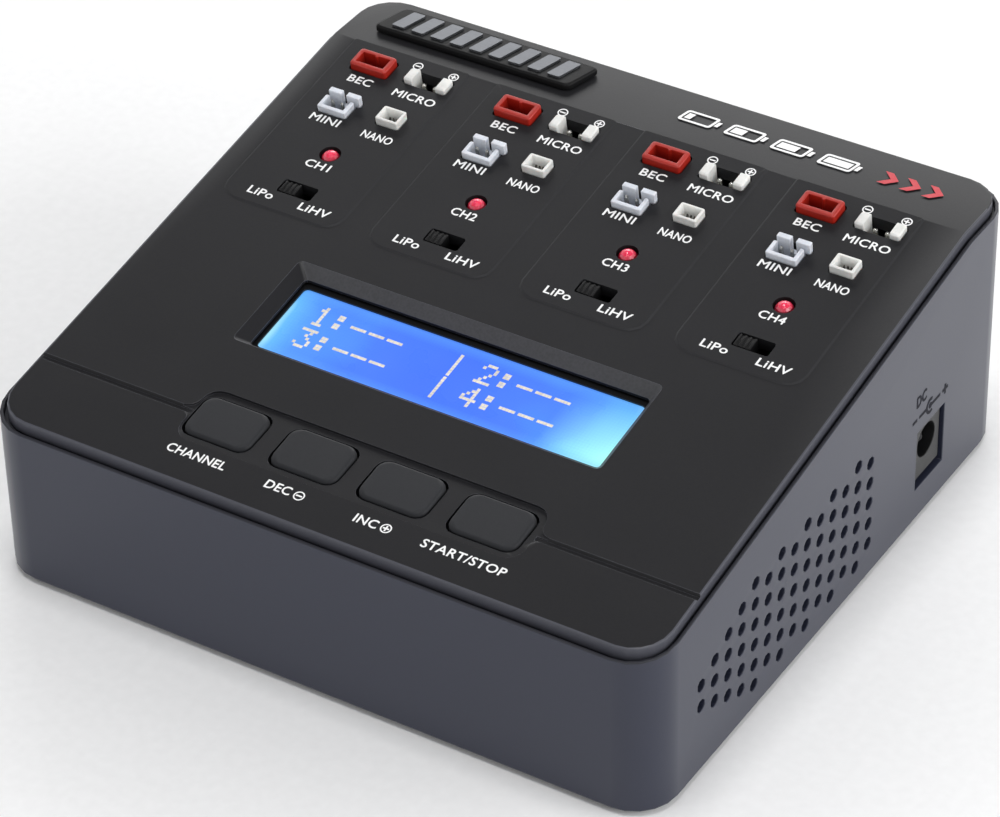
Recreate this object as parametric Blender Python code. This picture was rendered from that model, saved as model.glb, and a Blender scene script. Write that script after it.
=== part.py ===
"""Four-channel balance battery charger: wedge-shaped case with a sloping control panel.

Axes: +X to the right seen from the front, +Y to the back, +Z up, origin under the middle
of the case on the surface that the feet stand on. Every dimension below is in millimetres
and angles are in degrees; finish() turns a finished mesh into metres.
"""

import math

import bmesh
import bpy
from mathutils import Matrix, Vector

MM = 0.001
GAP = 0.3

# --- case
WIDTH = 127.0
DEPTH = 120.8
CORNER_RADIUS = 7.8
FOOT_RISE = 0.65
FRONT_SEAM = 31.0
PANEL_TILT = 9.12
BEND_Y = 44.5
WALL = 2.4
FLOOR = 2.4
LEDGE = 0.65
LEDGE_DROP = 1.2
CASE_BOTTOM_BEVEL = 0.7

# --- cover
COVER_INSET = 1.15
COVER_FRONT_INSET = 1.5
COVER_RISE = 1.47
COVER_SKIN = 2.2
SKIRT_INSET = WALL + GAP
SKIRT_WALL = 1.4
SKIRT_DROP = 4.0
RIM_BEVEL = 0.3

# --- control panel, u across and v up the slope from the front edge
GROOVE_V = 15.9
GROOVE_WIDTH = 1.4
GROOVE_DEPTH = 0.5
TRAY_CENTRE = (0.55, 15.9)
TRAY_SIZE = (65.2, 12.0)
TRAY_RADIUS = 3.0
TRAY_DEPTH_FRONT = 0.06
TRAY_DEPTH_BACK = 0.5
TRAY_FILLET_BACK = 2.2
TRAY_FILLET_FRONT = 1.2
KEY_COUNT = 4
KEY_PITCH = 16.8
KEY_CENTRE = (0.14, 15.76)
KEY_SIZE = (12.7, 9.0)
KEY_RADIUS = 2.2
KEY_TOP = 0.3
KEY_FLANGE_TOP = -2.5
KEY_TRAVEL = 0.5
KEY_CLEARANCE = 0.35

CHANNELS = 4
CHANNEL_PITCH = 29.55
CHANNEL_OFFSET = -1.66
PAD_HALF_WIDTH = 12.1
PAD_FRONT = 61.9
PAD_RADIUS = 3.4
PAD_RISE = 0.2
PAD_BEVEL = 0.35
PAD_BACK = 106.2

LAMP_AT = (0.75, 78.15)
LAMP_RADIUS = 1.75
LAMP_HOLE = 1.95
LAMP_TOP = 0.6
SLOT_AT = (0.65, 68.0)
SLOT_SIZE = (6.85, 3.3)
KNOB_SIZE = (3.2, 2.7)
KNOB_TOP = 0.15
KNOB_BOTTOM = -3.4
KNOB_RIBS = 4
KNOB_RIB_DEPTH = 0.15
KNOB_TRAVEL = 3.0
RED_AT = (-4.8, 101.1)
RED_SIZE = (7.4, 4.4)
RED_TOP = 1.6
PIN_TRAY_AT = (-4.78, 88.68)
PIN_TRAY_SIZE = (5.75, 3.26)
PIN_TRAY_TOP = 1.3
PIN_POSTS_AT = (-4.28, 91.2)
PIN_POSTS_SIZE = (6.25, 1.1)
PIN_POSTS_TOP = 2.0
PIN_WALL = 0.7
PIN_GAP = 1.15
SQUARE_AT = (5.79, 90.1)
SQUARE_SIZE = (4.5, 3.5)
SQUARE_TOP = 1.5
SQUARE_WELL_FLOOR = -1.2
LUG_AT = (6.4, 101.25)
LUG_SIZE = (8.5, 3.2)
LUG_TOP = 1.2
LUG_WIDTH = 1.8
LUG_WALL_TOP = -0.6
RED_WALL = 0.9
WELL_FLOOR = -4.5
PIN_SLOT_FLOOR = -1.0
OUTLET_CLEARANCE = 0.25

# --- display
BEVEL_CENTRE = (-0.28, 43.2)
BEVEL_SIZE = (70.36, 20.8)
WINDOW_CENTRE = (0.2, 42.78)
WINDOW_SIZE = (66.8, 17.24)
WINDOW_BEVEL_DEPTH = 1.6
DISPLAY_FRAME = (71.2, 24.2)
DISPLAY_CENTRE = (0.3, 42.7)
DISPLAY_VIEW = (65.8, 15.3)
DISPLAY_LIP = 0.3
DISPLAY_FRAME_TOP = -2.5
DISPLAY_FRAME_HEIGHT = 6.0
DISPLAY_BOARD = (80.0, 36.0)
DISPLAY_BOARD_TOP = DISPLAY_FRAME_TOP - DISPLAY_FRAME_HEIGHT - 0.3
DISPLAY_PEG = (37.5, 15.5)
GLASS = 1.1

# --- boards
BOARD = 1.6
BOARD_TOP = -9.0
CHANNEL_BOARD_U = (-57.0, 57.0)
CHANNEL_BOARD_V = (62.5, 105.2)
KEY_BOARD_U = (-42.0, 42.0)
KEY_BOARD_V = (6.0, 24.0)
MAIN_BOARD_X = (-49.0, 59.6)
MAIN_BOARD_Y = (-44.0, 44.0)
MAIN_BOARD_TOP = 8.45
STANDOFF = (45.0, 40.0)
STANDOFF_RADIUS = 2.5
PEG_RADIUS = 1.0
PEG_BOSS_RADIUS = 2.2
PEG_REACH = 2.4
CHANNEL_PEG_U = 54.5
CHANNEL_PEG_V = (66.0, 96.2)
KEY_PEG_U = 38.5
KEY_PEG_V = (9.5, 20.5)
BUZZER_AT = (20.0, -20.0)
BUZZER_RADIUS = 6.0
CAPACITOR_AT = (30.0, 30.0)
RIBBON_WIDTH = 12.0
RIBBON_PULL = 9.0
RIBBON_FEET = (22.0, -36.0)
RIBBON_PLUGS = (75.0, 15.0)

# --- power inlet in the right side
JACK_Y = (27.6, 36.4)
JACK_Z = (8.75, 19.15)
JACK_HOLE = (31.6, 15.3)
JACK_HOLE_RADIUS = 3.2
JACK_DEPTH = 13.6
JACK_HOLE_DEPTH = 9.5
JACK_PIN_RADIUS = 0.9
JACK_RECESS = 0.5
JACK_OPENING_Y = (27.25, 37.15)
JACK_OPENING_Z = (7.45, 19.5)

# --- vents, a staggered grid on each side
VENT_RADIUS = 1.2
VENT_STEP_Y = 4.29
VENT_STEP_Z = 4.175
VENT_BACK_Y = 10.2
VENT_LOW_Z = 7.93
VENT_COLUMNS = 14
VENT_FULL_COLUMNS = 10
VENT_ROWS = 5
VENT_SEGMENTS = 8

# --- blank name plate on the rear strip
BADGE_AT = (-35.5, 52.0)
BADGE_SIZE = (40.0, 7.8)
BADGE_SLANT = 0.25
BADGE_THICKNESS = 1.2

# --- fixings and feet
POST = (53.0, 50.0)
POST_RADIUS = 3.25
POST_FOOT = 7.3
BOSS_RADIUS = 4.5
BOSS_TOP = 7.0
SCREW_SHANK = 1.5
SCREW_HEAD = 2.8
SCREW_LENGTH = 12.0
SCREW_SEAT = 4.4
SCREW_HEAD_HEIGHT = 2.0
PILOT_TOP = 18.0
FOOT_AT = (49.0, 38.0)
FOOT_RADIUS = 5.0
FOOT_HEIGHT = 1.7

TILT = math.radians(PANEL_TILT)
FAR = 90.0


def clear_scene():
    for item in list(bpy.data.objects):
        bpy.data.objects.remove(item, do_unlink=True)


# ---------------------------------------------------------------- frames

def panel_matrix():
    """Panel frame: x across, y up the slope, z out of the panel, zero on its top surface."""
    across = Vector((1.0, 0.0, 0.0))
    up_slope = Vector((0.0, math.cos(TILT), math.sin(TILT)))
    outward = Vector((0.0, -math.sin(TILT), math.cos(TILT)))
    matrix = Matrix((across, up_slope, outward)).transposed().to_4x4()
    matrix.translation = Vector((0.0, -DEPTH / 2, FRONT_SEAM + COVER_RISE))
    return matrix


PANEL = panel_matrix()


def seam_height(y):
    """Height of the case's upper edge at y: it climbs to the bend and is level behind it."""
    return FRONT_SEAM + (min(y, BEND_Y) + DEPTH / 2) * math.tan(TILT)


def channel_u(channel):
    return CHANNEL_OFFSET + CHANNEL_PITCH * (channel - (CHANNELS - 1) / 2)


def key_u(key):
    return KEY_CENTRE[0] + KEY_PITCH * (key - (KEY_COUNT - 1) / 2)


# ---------------------------------------------------------------- mesh tools

def rounded_rect(size, radius, centre=(0.0, 0.0), segments=5, back_radius=None):
    """Counterclockwise outline of a rectangle with round corners."""
    points = []
    for corner, (sx, sy) in enumerate(((1, 1), (-1, 1), (-1, -1), (1, -1))):
        turn = back_radius if back_radius and sy > 0 else radius
        x = centre[0] + sx * (size[0] / 2 - turn)
        y = centre[1] + sy * (size[1] / 2 - turn)
        for step in range(segments + 1):
            angle = math.radians(90.0 * (corner + step / segments))
            points.append((x + turn * math.cos(angle), y + turn * math.sin(angle)))
    return points


def rectangle(size, centre=(0.0, 0.0)):
    half_x = size[0] / 2
    half_y = size[1] / 2
    corners = ((half_x, half_y), (-half_x, half_y), (-half_x, -half_y), (half_x, -half_y))
    return [(centre[0] + x, centre[1] + y) for x, y in corners]


def circle(radius, centre=(0.0, 0.0), segments=16):
    points = []
    for step in range(segments):
        angle = 2 * math.pi * (step + 0.5) / segments
        points.append((centre[0] + radius * math.cos(angle), centre[1] + radius * math.sin(angle)))
    return points


def loft(levels):
    """Closed solid through outlines with equal point counts, given from bottom to top as 3-D points."""
    bm = bmesh.new()
    rings = [[bm.verts.new(point) for point in level] for level in levels]
    bm.faces.new(list(reversed(rings[0])))
    bm.faces.new(rings[-1])
    count = len(rings[0])
    for low, high in zip(rings, rings[1:]):
        for i in range(count):
            j = (i + 1) % count
            bm.faces.new((low[i], low[j], high[j], high[i]))
    return bm


def at_height(outline, z):
    return [(x, y, z) for x, y in outline]


def prism(outline, low, high):
    return loft((at_height(outline, low), at_height(outline, high)))


def bar_x(outline, x0, x1):
    """Prism along X over a counterclockwise outline of (y, z) points."""
    return loft(([(x0, y, z) for y, z in outline], [(x1, y, z) for y, z in outline]))


def bar_y(outline, y0, y1):
    """Prism along Y over a counterclockwise outline of (z, x) points."""
    return loft(([(x, y0, z) for z, x in outline], [(x, y1, z) for z, x in outline]))


def cylinder(radius, centre, low, high, segments=16):
    return prism(circle(radius, centre, segments), low, high)


def turned(profile, centre, segments=12):
    """Round solid about a vertical line, from (radius, height) pairs given upwards."""
    return loft([at_height(circle(radius, centre, segments), z) for radius, z in profile])


def box(x, y, z):
    """Box between the two values of each axis."""
    size = (x[1] - x[0], y[1] - y[0])
    centre = ((x[0] + x[1]) / 2, (y[0] + y[1]) / 2)
    return prism(rectangle(size, centre), z[0], z[1])


def join(parts):
    """One mesh that holds the given ones side by side."""
    merged = bmesh.new()
    for part in parts:
        mesh = bpy.data.meshes.new("part")
        part.to_mesh(mesh)
        part.free()
        merged.from_mesh(mesh)
        bpy.data.meshes.remove(mesh)
    return merged


def on_panel(bm):
    bm.transform(PANEL)
    return bm


def to_object(bm, name="work"):
    mesh = bpy.data.meshes.new(name)
    bm.to_mesh(mesh)
    bm.free()
    item = bpy.data.objects.new(name, mesh)
    bpy.context.scene.collection.objects.link(item)
    return item


def boolean(bm, cutter, operation="DIFFERENCE"):
    """Exact boolean of two closed meshes."""
    base = to_object(bm)
    tool = to_object(cutter)
    modifier = base.modifiers.new("cut", "BOOLEAN")
    modifier.operation = operation
    modifier.solver = "EXACT"
    modifier.object = tool
    evaluated = base.evaluated_get(bpy.context.evaluated_depsgraph_get())
    result = bmesh.new()
    result.from_mesh(evaluated.to_mesh())
    evaluated.to_mesh_clear()
    for item in (base, tool):
        mesh = item.data
        bpy.data.objects.remove(item, do_unlink=True)
        bpy.data.meshes.remove(mesh)
    bmesh.ops.remove_doubles(result, verts=result.verts, dist=0.0005)
    bmesh.ops.dissolve_degenerate(result, edges=result.edges, dist=0.0005)
    return result


def bevel_edges(bm, wanted, width, segments=1):
    """Bevel the edges for which wanted(edge) is true."""
    bm.normal_update()
    edges = [edge for edge in bm.edges if edge.is_manifold and wanted(edge)]
    bmesh.ops.bevel(bm, geom=edges, offset=width, segments=segments, profile=0.5, affect="EDGES")
    return bm


def top_rim(height):
    """Test for the edges around a flat top face at the given height."""
    def wanted(edge):
        return all(abs(vert.co.z - height) < 1e-4 for vert in edge.verts)
    return wanted


def finish(name, bm, material, origin=(0.0, 0.0, 0.0), smooth=30.0):
    """Make the node's object: metres, outward faces, origin at the given point in millimetres."""
    bmesh.ops.recalc_face_normals(bm, faces=bm.faces)
    bm.transform(Matrix.Translation(-Vector(origin)))
    bm.transform(Matrix.Scale(MM, 4))
    item = to_object(bm, name)
    item.location = Vector(origin) * MM
    item.data.materials.append(material)
    item.data.shade_smooth()
    item.data.set_sharp_from_angle(angle=math.radians(smooth))
    return item


def make_material(name, colour, roughness, metallic=0.0, transmission=0.0):
    material = bpy.data.materials.new(name)
    material.use_nodes = True
    shader = material.node_tree.nodes["Principled BSDF"]
    shader.inputs["Base Color"].default_value = (*colour, 1.0)
    shader.inputs["Roughness"].default_value = roughness
    shader.inputs["Metallic"].default_value = metallic
    shader.inputs["Transmission Weight"].default_value = transmission
    return material


# ---------------------------------------------------------------- case outline and profile

def plan(inset, front_inset=None):
    """Outline of the case seen from above, moved inwards; the front edge may move further."""
    front = inset if front_inset is None else front_inset
    size = (WIDTH - 2 * inset, DEPTH - inset - front)
    return rounded_rect(size, CORNER_RADIUS - inset, (0.0, (front - inset) / 2))


def along_seam(offset):
    """The case's upper edge seen from the side, moved up, well past the case at both ends."""
    stations = (-FAR, BEND_Y, FAR)
    return [(y, seam_height(y) + offset) for y in stations]


def level(z):
    return [(y, z) for y in (-FAR, FAR)]


def profile_solid(lower, upper):
    """Everything between two side-view lines, running across the case."""
    return bar_x(list(lower) + list(reversed(upper)), -FAR, FAR)


def slab(inset, lower, upper, front_inset=None):
    """The part of the case's plan that lies between two side-view lines."""
    column = prism(plan(inset, front_inset), -FAR, FAR)
    return boolean(column, profile_solid(lower, upper), "INTERSECT")


# ---------------------------------------------------------------- lower case

def corners(point):
    """The four places that mirror a point in both directions."""
    return [(sx * point[0], sy * point[1]) for sx in (-1, 1) for sy in (-1, 1)]


def vent_cutters():
    """Staggered columns of round holes that taper towards the front, the same on both sides."""
    cutters = []
    for column in range(VENT_COLUMNS):
        y = VENT_BACK_Y - column * VENT_STEP_Y
        spread = 0.5 * (column % 2)
        if column >= VENT_FULL_COLUMNS:
            spread = -0.5 * (column - VENT_FULL_COLUMNS)
        rows = round(VENT_ROWS - 1 + 2 * spread) + 1
        for row in range(rows):
            z = VENT_LOW_Z + VENT_STEP_Z * (row - spread)
            ring = circle(VENT_RADIUS, (y, z), VENT_SEGMENTS)
            for side in (-1, 1):
                ends = sorted((side * (WIDTH / 2 - WALL - 1.0), side * (WIDTH / 2 + 1.0)))
                cutters.append(bar_x(ring, *ends))
    return cutters


def build_lower_case(material):
    floor_top = FOOT_RISE + FLOOR
    bm = slab(0.0, level(FOOT_RISE), along_seam(0.0))
    bevel_edges(bm, top_rim(FOOT_RISE), CASE_BOTTOM_BEVEL, 2)
    bm = boolean(bm, slab(LEDGE, along_seam(-LEDGE_DROP), along_seam(WALL)))
    bm = boolean(bm, slab(WALL, level(floor_top), along_seam(WALL)))
    pillars = [cylinder(BOSS_RADIUS, at, floor_top - 1.0, BOSS_TOP) for at in corners(POST)]
    for at in corners(STANDOFF):
        pillars.append(cylinder(STANDOFF_RADIUS, at, floor_top - 1.0, MAIN_BOARD_TOP - BOARD - GAP, 10))
    bm = boolean(bm, join(pillars), "UNION")
    holes = []
    for at in corners(POST):
        holes.append(cylinder(SCREW_HEAD + GAP, at, 0.0, SCREW_SEAT))
        holes.append(cylinder(FOOT_RADIUS + GAP, feet_place(at), 0.0, FOOT_HEIGHT + GAP, 20))
    holes.append(box((WIDTH / 2 - WALL - 1.0, WIDTH / 2 + 1.0), JACK_OPENING_Y, JACK_OPENING_Z))
    bm = boolean(bm, join(holes + vent_cutters()))
    shanks = [cylinder(SCREW_SHANK + GAP, at, SCREW_SEAT - 1.0, BOSS_TOP + 1.0) for at in corners(POST)]
    bm = boolean(bm, join(shanks))
    finish("lower_case", bm, material)


def feet_place(post):
    """Centre of the foot that sits inboard of a screw post."""
    return (math.copysign(FOOT_AT[0], post[0]), math.copysign(FOOT_AT[1], post[1]))


def build_feet(material):
    profile = ((FOOT_RADIUS - 0.5, 0.0), (FOOT_RADIUS, 0.5), (FOOT_RADIUS, FOOT_HEIGHT))
    for number, at in enumerate(corners(FOOT_AT), 1):
        finish(f"foot_{number}", turned(profile, at, 20), material)


def build_case_screws(material):
    head = SCREW_SEAT - GAP
    profile = (
        (SCREW_HEAD - 0.5, head - SCREW_HEAD_HEIGHT),
        (SCREW_HEAD, head - SCREW_HEAD_HEIGHT + 0.5),
        (SCREW_HEAD, head),
        (SCREW_SHANK, head + 0.01),
        (SCREW_SHANK, head + SCREW_LENGTH - 1.0),
        (0.3, head + SCREW_LENGTH),
    )
    for number, at in enumerate(corners(POST), 1):
        bm = turned(profile, at, 12)
        low = head - SCREW_HEAD_HEIGHT - 1.0
        cross = [box((at[0] - 1.5, at[0] + 1.5), (at[1] - 0.3, at[1] + 0.3), (low, head - 1.0))]
        bm = boolean(bm, join(cross))
        finish(f"case_screw_{number}", bm, material)


# ---------------------------------------------------------------- top cover

def pad_levels(channel):
    """Outlines of one channel's raised pad, with a sloping edge."""
    levels = []
    for inset, height in ((0.0, -1.0), (0.0, 0.0), (PAD_BEVEL, PAD_RISE)):
        size = (2 * (PAD_HALF_WIDTH - inset), PAD_BACK - PAD_FRONT - inset)
        centre = (channel_u(channel), PAD_BACK - size[1] / 2)
        outline = rounded_rect(size, PAD_RADIUS - inset, centre, 3, back_radius=0.3)
        levels.append(at_height(outline, height))
    return levels


def arc(centre, radius, start, end, steps=4):
    """Points of an arc between two angles in degrees; it may turn either way."""
    points = []
    for step in range(steps + 1):
        angle = math.radians(start + (end - start) * step / steps)
        points.append((centre[0] + radius * math.cos(angle), centre[1] + radius * math.sin(angle)))
    return points


def tray_outline():
    """Round-cornered tray whose sides flare into the groove on both ends."""
    left = TRAY_CENTRE[0] - TRAY_SIZE[0] / 2
    right = TRAY_CENTRE[0] + TRAY_SIZE[0] / 2
    front = TRAY_CENTRE[1] - TRAY_SIZE[1] / 2
    back = TRAY_CENTRE[1] + TRAY_SIZE[1] / 2
    turn = TRAY_RADIUS
    groove_front = GROOVE_V - GROOVE_WIDTH / 2
    groove_back = GROOVE_V + GROOVE_WIDTH / 2
    low = TRAY_FILLET_FRONT
    high = TRAY_FILLET_BACK
    points = arc((right - turn, front + turn), turn, 270, 360)
    points += arc((right + low, groove_front - low), low, 180, 90)
    points += arc((right + high, groove_back + high), high, 270, 180)
    points += arc((right - turn, back - turn), turn, 0, 90)
    points += arc((left + turn, back - turn), turn, 90, 180)
    points += arc((left - high, groove_back + high), high, 0, -90)
    points += arc((left - low, groove_front - low), low, 90, 0)
    points += arc((left + turn, front + turn), turn, 180, 270)
    return points


def tray_cutter():
    """Wedge under the keys: nearly level with the panel in front and deeper at the back."""
    outline = tray_outline()
    front = TRAY_CENTRE[1] - TRAY_SIZE[1] / 2
    floor = []
    for u, v in outline:
        share = (v - front) / TRAY_SIZE[1]
        floor.append((u, v, -TRAY_DEPTH_FRONT - share * (TRAY_DEPTH_BACK - TRAY_DEPTH_FRONT)))
    return loft((floor, at_height(outline, 1.0)))


def groove_cutter():
    """Bars with sloping sides across the panel, one from each edge up to the tray."""
    half = GROOVE_WIDTH / 2
    narrow = half / 2
    section = (
        (GROOVE_V - narrow, -GROOVE_DEPTH),
        (GROOVE_V + narrow, -GROOVE_DEPTH),
        (GROOVE_V + half, 0.0),
        (GROOVE_V + half, 1.0),
        (GROOVE_V - half, 1.0),
        (GROOVE_V - half, 0.0),
    )
    half_tray = TRAY_SIZE[0] / 2
    return join((
        bar_x(section, -FAR, TRAY_CENTRE[0] - half_tray),
        bar_x(section, TRAY_CENTRE[0] + half_tray, FAR),
    ))


def display_cutter():
    """Window for the display: a bevelled surround that narrows to a straight opening."""
    steps = (
        (WINDOW_SIZE, 0.8, WINDOW_CENTRE, -COVER_SKIN - 1.0),
        (WINDOW_SIZE, 0.8, WINDOW_CENTRE, -WINDOW_BEVEL_DEPTH),
        (BEVEL_SIZE, 1.0, BEVEL_CENTRE, 0.0),
        (BEVEL_SIZE, 1.0, BEVEL_CENTRE, 1.0),
    )
    return loft([at_height(rounded_rect(size, radius, at, 3), z) for size, radius, at, z in steps])


def opening(size, centre, clearance, radius):
    """Hole through the panel around a part of the given size."""
    grown = (size[0] + 2 * clearance, size[1] + 2 * clearance)
    segments = 4 if radius > 1.0 else 1
    return prism(rounded_rect(grown, radius, centre, segments), -COVER_SKIN - 2.0, PAD_RISE + 1.0)


def channel_point(channel, at):
    return (channel_u(channel) + at[0], at[1])


def outlet_openings():
    cutters = []
    for channel in range(CHANNELS):
        outlets = (
            (RED_AT, RED_SIZE),
            (PIN_TRAY_AT, PIN_TRAY_SIZE),
            (SQUARE_AT, SQUARE_SIZE),
            (LUG_AT, LUG_SIZE),
        )
        for at, size in outlets:
            cutters.append(opening(size, channel_point(channel, at), OUTLET_CLEARANCE, 0.4))
        cutters.append(opening(SLOT_SIZE, channel_point(channel, SLOT_AT), 0.0, 0.3))
        lamp = channel_point(channel, LAMP_AT)
        cutters.append(cylinder(LAMP_HOLE, lamp, -COVER_SKIN - 2.0, PAD_RISE + 1.0, 14))
    return cutters


def posts_openings():
    """Openings of the header posts; each runs into the opening of its tray."""
    places = [channel_point(channel, PIN_POSTS_AT) for channel in range(CHANNELS)]
    return [opening(PIN_POSTS_SIZE, place, OUTLET_CLEARANCE, 0.4) for place in places]


def board_pegs():
    """Places in the panel of the pegs that hold each board, with the board's upper face."""
    pegs = []
    for sign in (-1, 1):
        for v in CHANNEL_PEG_V:
            pegs.append(((sign * CHANNEL_PEG_U, v), BOARD_TOP))
        for v in KEY_PEG_V:
            pegs.append(((sign * KEY_PEG_U, v), BOARD_TOP))
        for side in (-1, 1):
            v = DISPLAY_CENTRE[1] + side * DISPLAY_PEG[1]
            pegs.append(((sign * DISPLAY_PEG[0], v), DISPLAY_BOARD_TOP))
    return pegs


def build_top_cover(material):
    bm = slab(COVER_INSET, along_seam(-LEDGE_DROP + GAP), along_seam(COVER_RISE), COVER_FRONT_INSET)

    def on_top_edge(edge):
        level_with_top = all(abs(v.co.z - seam_height(v.co.y) - COVER_RISE) < 1e-3 for v in edge.verts)
        return level_with_top and min(abs(face.normal.z) for face in edge.link_faces) < 0.3

    bevel_edges(bm, on_top_edge, RIM_BEVEL, 2)
    bm = boolean(bm, slab(SKIRT_INSET, along_seam(-SKIRT_DROP), along_seam(0.5)), "UNION")
    pocket = slab(SKIRT_INSET + SKIRT_WALL, along_seam(-2 * SKIRT_DROP), along_seam(COVER_RISE - COVER_SKIN))
    bm = boolean(bm, pocket)
    posts = []
    for x, y in corners(POST):
        posts.append(cylinder(POST_RADIUS, (x, y), POST_FOOT, seam_height(y) + 0.35))
    bm = boolean(bm, join(posts), "UNION")
    bosses = [cylinder(PEG_BOSS_RADIUS, at, top + GAP, -1.5, 10) for at, top in board_pegs()]
    pads = [loft(pad_levels(channel)) for channel in range(CHANNELS)]
    bm = boolean(bm, on_panel(join(bosses + pads)), "UNION")
    pegs = [cylinder(PEG_RADIUS, at, top - PEG_REACH, top + 1.0, 8) for at, top in board_pegs()]
    bm = boolean(bm, on_panel(join(pegs)), "UNION")
    bm = boolean(bm, on_panel(groove_cutter()))
    bm = boolean(bm, on_panel(join([tray_cutter(), display_cutter()] + outlet_openings())))
    bm = boolean(bm, on_panel(join(posts_openings())))
    keys = [opening(KEY_SIZE, (key_u(i), KEY_CENTRE[1]), KEY_CLEARANCE, KEY_RADIUS) for i in range(KEY_COUNT)]
    bm = boolean(bm, on_panel(join(keys)))
    pilots = [cylinder(SCREW_SHANK + GAP, at, POST_FOOT - 1.0, PILOT_TOP) for at in corners(POST)]
    bm = boolean(bm, join(pilots))
    finish("top_cover", bm, material)


def build_badge_plate(material):
    """Slanted blank name plate on the rear strip."""
    low = seam_height(BEND_Y) + COVER_RISE + GAP
    levels = []
    for inset, z in ((0.0, low), (0.0, low + BADGE_THICKNESS - 0.3), (0.3, low + BADGE_THICKNESS)):
        half_x = BADGE_SIZE[0] / 2 - inset
        half_y = BADGE_SIZE[1] / 2 - inset
        corners_xy = rounded_rect((2 * half_x, 2 * half_y), 1.0, (0.0, 0.0), 3)
        outline = [(BADGE_AT[0] + x + BADGE_SLANT * y, BADGE_AT[1] + y) for x, y in corners_xy]
        levels.append(at_height(outline, z))
    finish("badge_plate", loft(levels), material)


# ---------------------------------------------------------------- keys and slide switches

def build_key(number, cap_material, switch_material):
    centre = (key_u(number), KEY_CENTRE[1])
    flange = (KEY_SIZE[0] + 1.6, KEY_SIZE[1] + 1.6)
    steps = (
        (flange, KEY_RADIUS + 0.8, KEY_FLANGE_TOP - 1.0),
        (flange, KEY_RADIUS + 0.8, KEY_FLANGE_TOP),
        (KEY_SIZE, KEY_RADIUS, KEY_FLANGE_TOP + 0.01),
        (KEY_SIZE, KEY_RADIUS, KEY_TOP - 0.6),
        ((KEY_SIZE[0] - 0.5, KEY_SIZE[1] - 0.5), KEY_RADIUS - 0.25, KEY_TOP - 0.15),
        ((KEY_SIZE[0] - 1.3, KEY_SIZE[1] - 1.3), KEY_RADIUS - 0.65, KEY_TOP),
    )
    bm = loft([at_height(rounded_rect(size, radius, centre, 4), z) for size, radius, z in steps])
    stem_foot = KEY_FLANGE_TOP - 1.35
    bm = boolean(bm, cylinder(1.8, centre, stem_foot, KEY_FLANGE_TOP - 0.5, 12), "UNION")
    origin = PANEL @ Vector((centre[0], centre[1], KEY_TOP))
    finish(f"key_cap_{number + 1}", on_panel(bm), cap_material, origin)

    plunger_top = stem_foot - KEY_TRAVEL - 0.15
    half = 3.0
    body = box((centre[0] - half, centre[0] + half), (centre[1] - half, centre[1] + half),
               (BOARD_TOP + GAP, plunger_top - 0.9))
    plunger = cylinder(1.7, centre, plunger_top - 1.5, plunger_top, 12)
    finish(f"key_switch_{number + 1}", on_panel(boolean(body, plunger, "UNION")), switch_material)


def knob_section(left):
    """Ribbed top of a slide knob seen along the slope, as (height, across) points."""
    pitch = KNOB_SIZE[0] / (2 * KNOB_RIBS - 1)
    points = [(KNOB_BOTTOM, left), (KNOB_BOTTOM, left + KNOB_SIZE[0])]
    edge = left + KNOB_SIZE[0]
    for rib in range(KNOB_RIBS):
        points.append((KNOB_TOP, edge))
        edge -= pitch
        points.append((KNOB_TOP, edge))
        if rib < KNOB_RIBS - 1:
            points.append((KNOB_TOP - KNOB_RIB_DEPTH, edge))
            edge -= pitch
            points.append((KNOB_TOP - KNOB_RIB_DEPTH, edge))
    return list(reversed(points))


def build_slide_switch(channel, knob_material, body_material):
    u, v = channel_point(channel, SLOT_AT)
    left = u - SLOT_SIZE[0] / 2 + GAP
    knob_u = left + KNOB_SIZE[0] / 2
    half_v = KNOB_SIZE[1] / 2
    block = bar_y(knob_section(left), v - half_v, v + half_v)
    stem = box((knob_u - 1.0, knob_u + 1.0), (v - 0.8, v + 0.8), (KNOB_BOTTOM - 2.6, KNOB_BOTTOM + 0.5))
    origin = PANEL @ Vector((knob_u, v, KNOB_BOTTOM))
    knob = on_panel(boolean(block, stem, "UNION"))
    finish(f"slide_knob_{channel + 1}", knob, knob_material, origin)

    body_top = KNOB_BOTTOM - 0.4
    body = box((u - 5.0, u + 5.0), (v - 2.4, v + 2.4), (BOARD_TOP + GAP, body_top))
    slot = box((u - 2.9, u + 2.9), (v - 1.15, v + 1.15), (KNOB_BOTTOM - 3.0, body_top + 1.0))
    finish(f"slide_body_{channel + 1}", on_panel(boolean(body, slot)), body_material)


# ---------------------------------------------------------------- lamps and outlets

def build_lamp(channel, material):
    centre = channel_point(channel, LAMP_AT)
    foot = BOARD_TOP + GAP
    profile = [(LAMP_HOLE, foot), (LAMP_HOLE, foot + 1.0), (LAMP_RADIUS, foot + 1.01)]
    for step in range(5):
        angle = math.radians(90.0 * step / 5)
        profile.append((LAMP_RADIUS * math.cos(angle), LAMP_TOP - LAMP_RADIUS * (1 - math.sin(angle))))
    profile.append((0.25, LAMP_TOP))
    finish(f"led_{channel + 1}", on_panel(turned(profile, centre)), material)


def outlet_block(centre, size, top, radius, edge):
    """Plain outer block of an outlet, standing on the channel board, with eased upper edges."""
    steps = ((0.0, BOARD_TOP + GAP), (0.0, top - edge), (edge, top))
    levels = []
    for inset, z in steps:
        shrunk = (size[0] - 2 * inset, size[1] - 2 * inset)
        levels.append(at_height(rounded_rect(shrunk, radius, centre, 2), z))
    return loft(levels)


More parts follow.
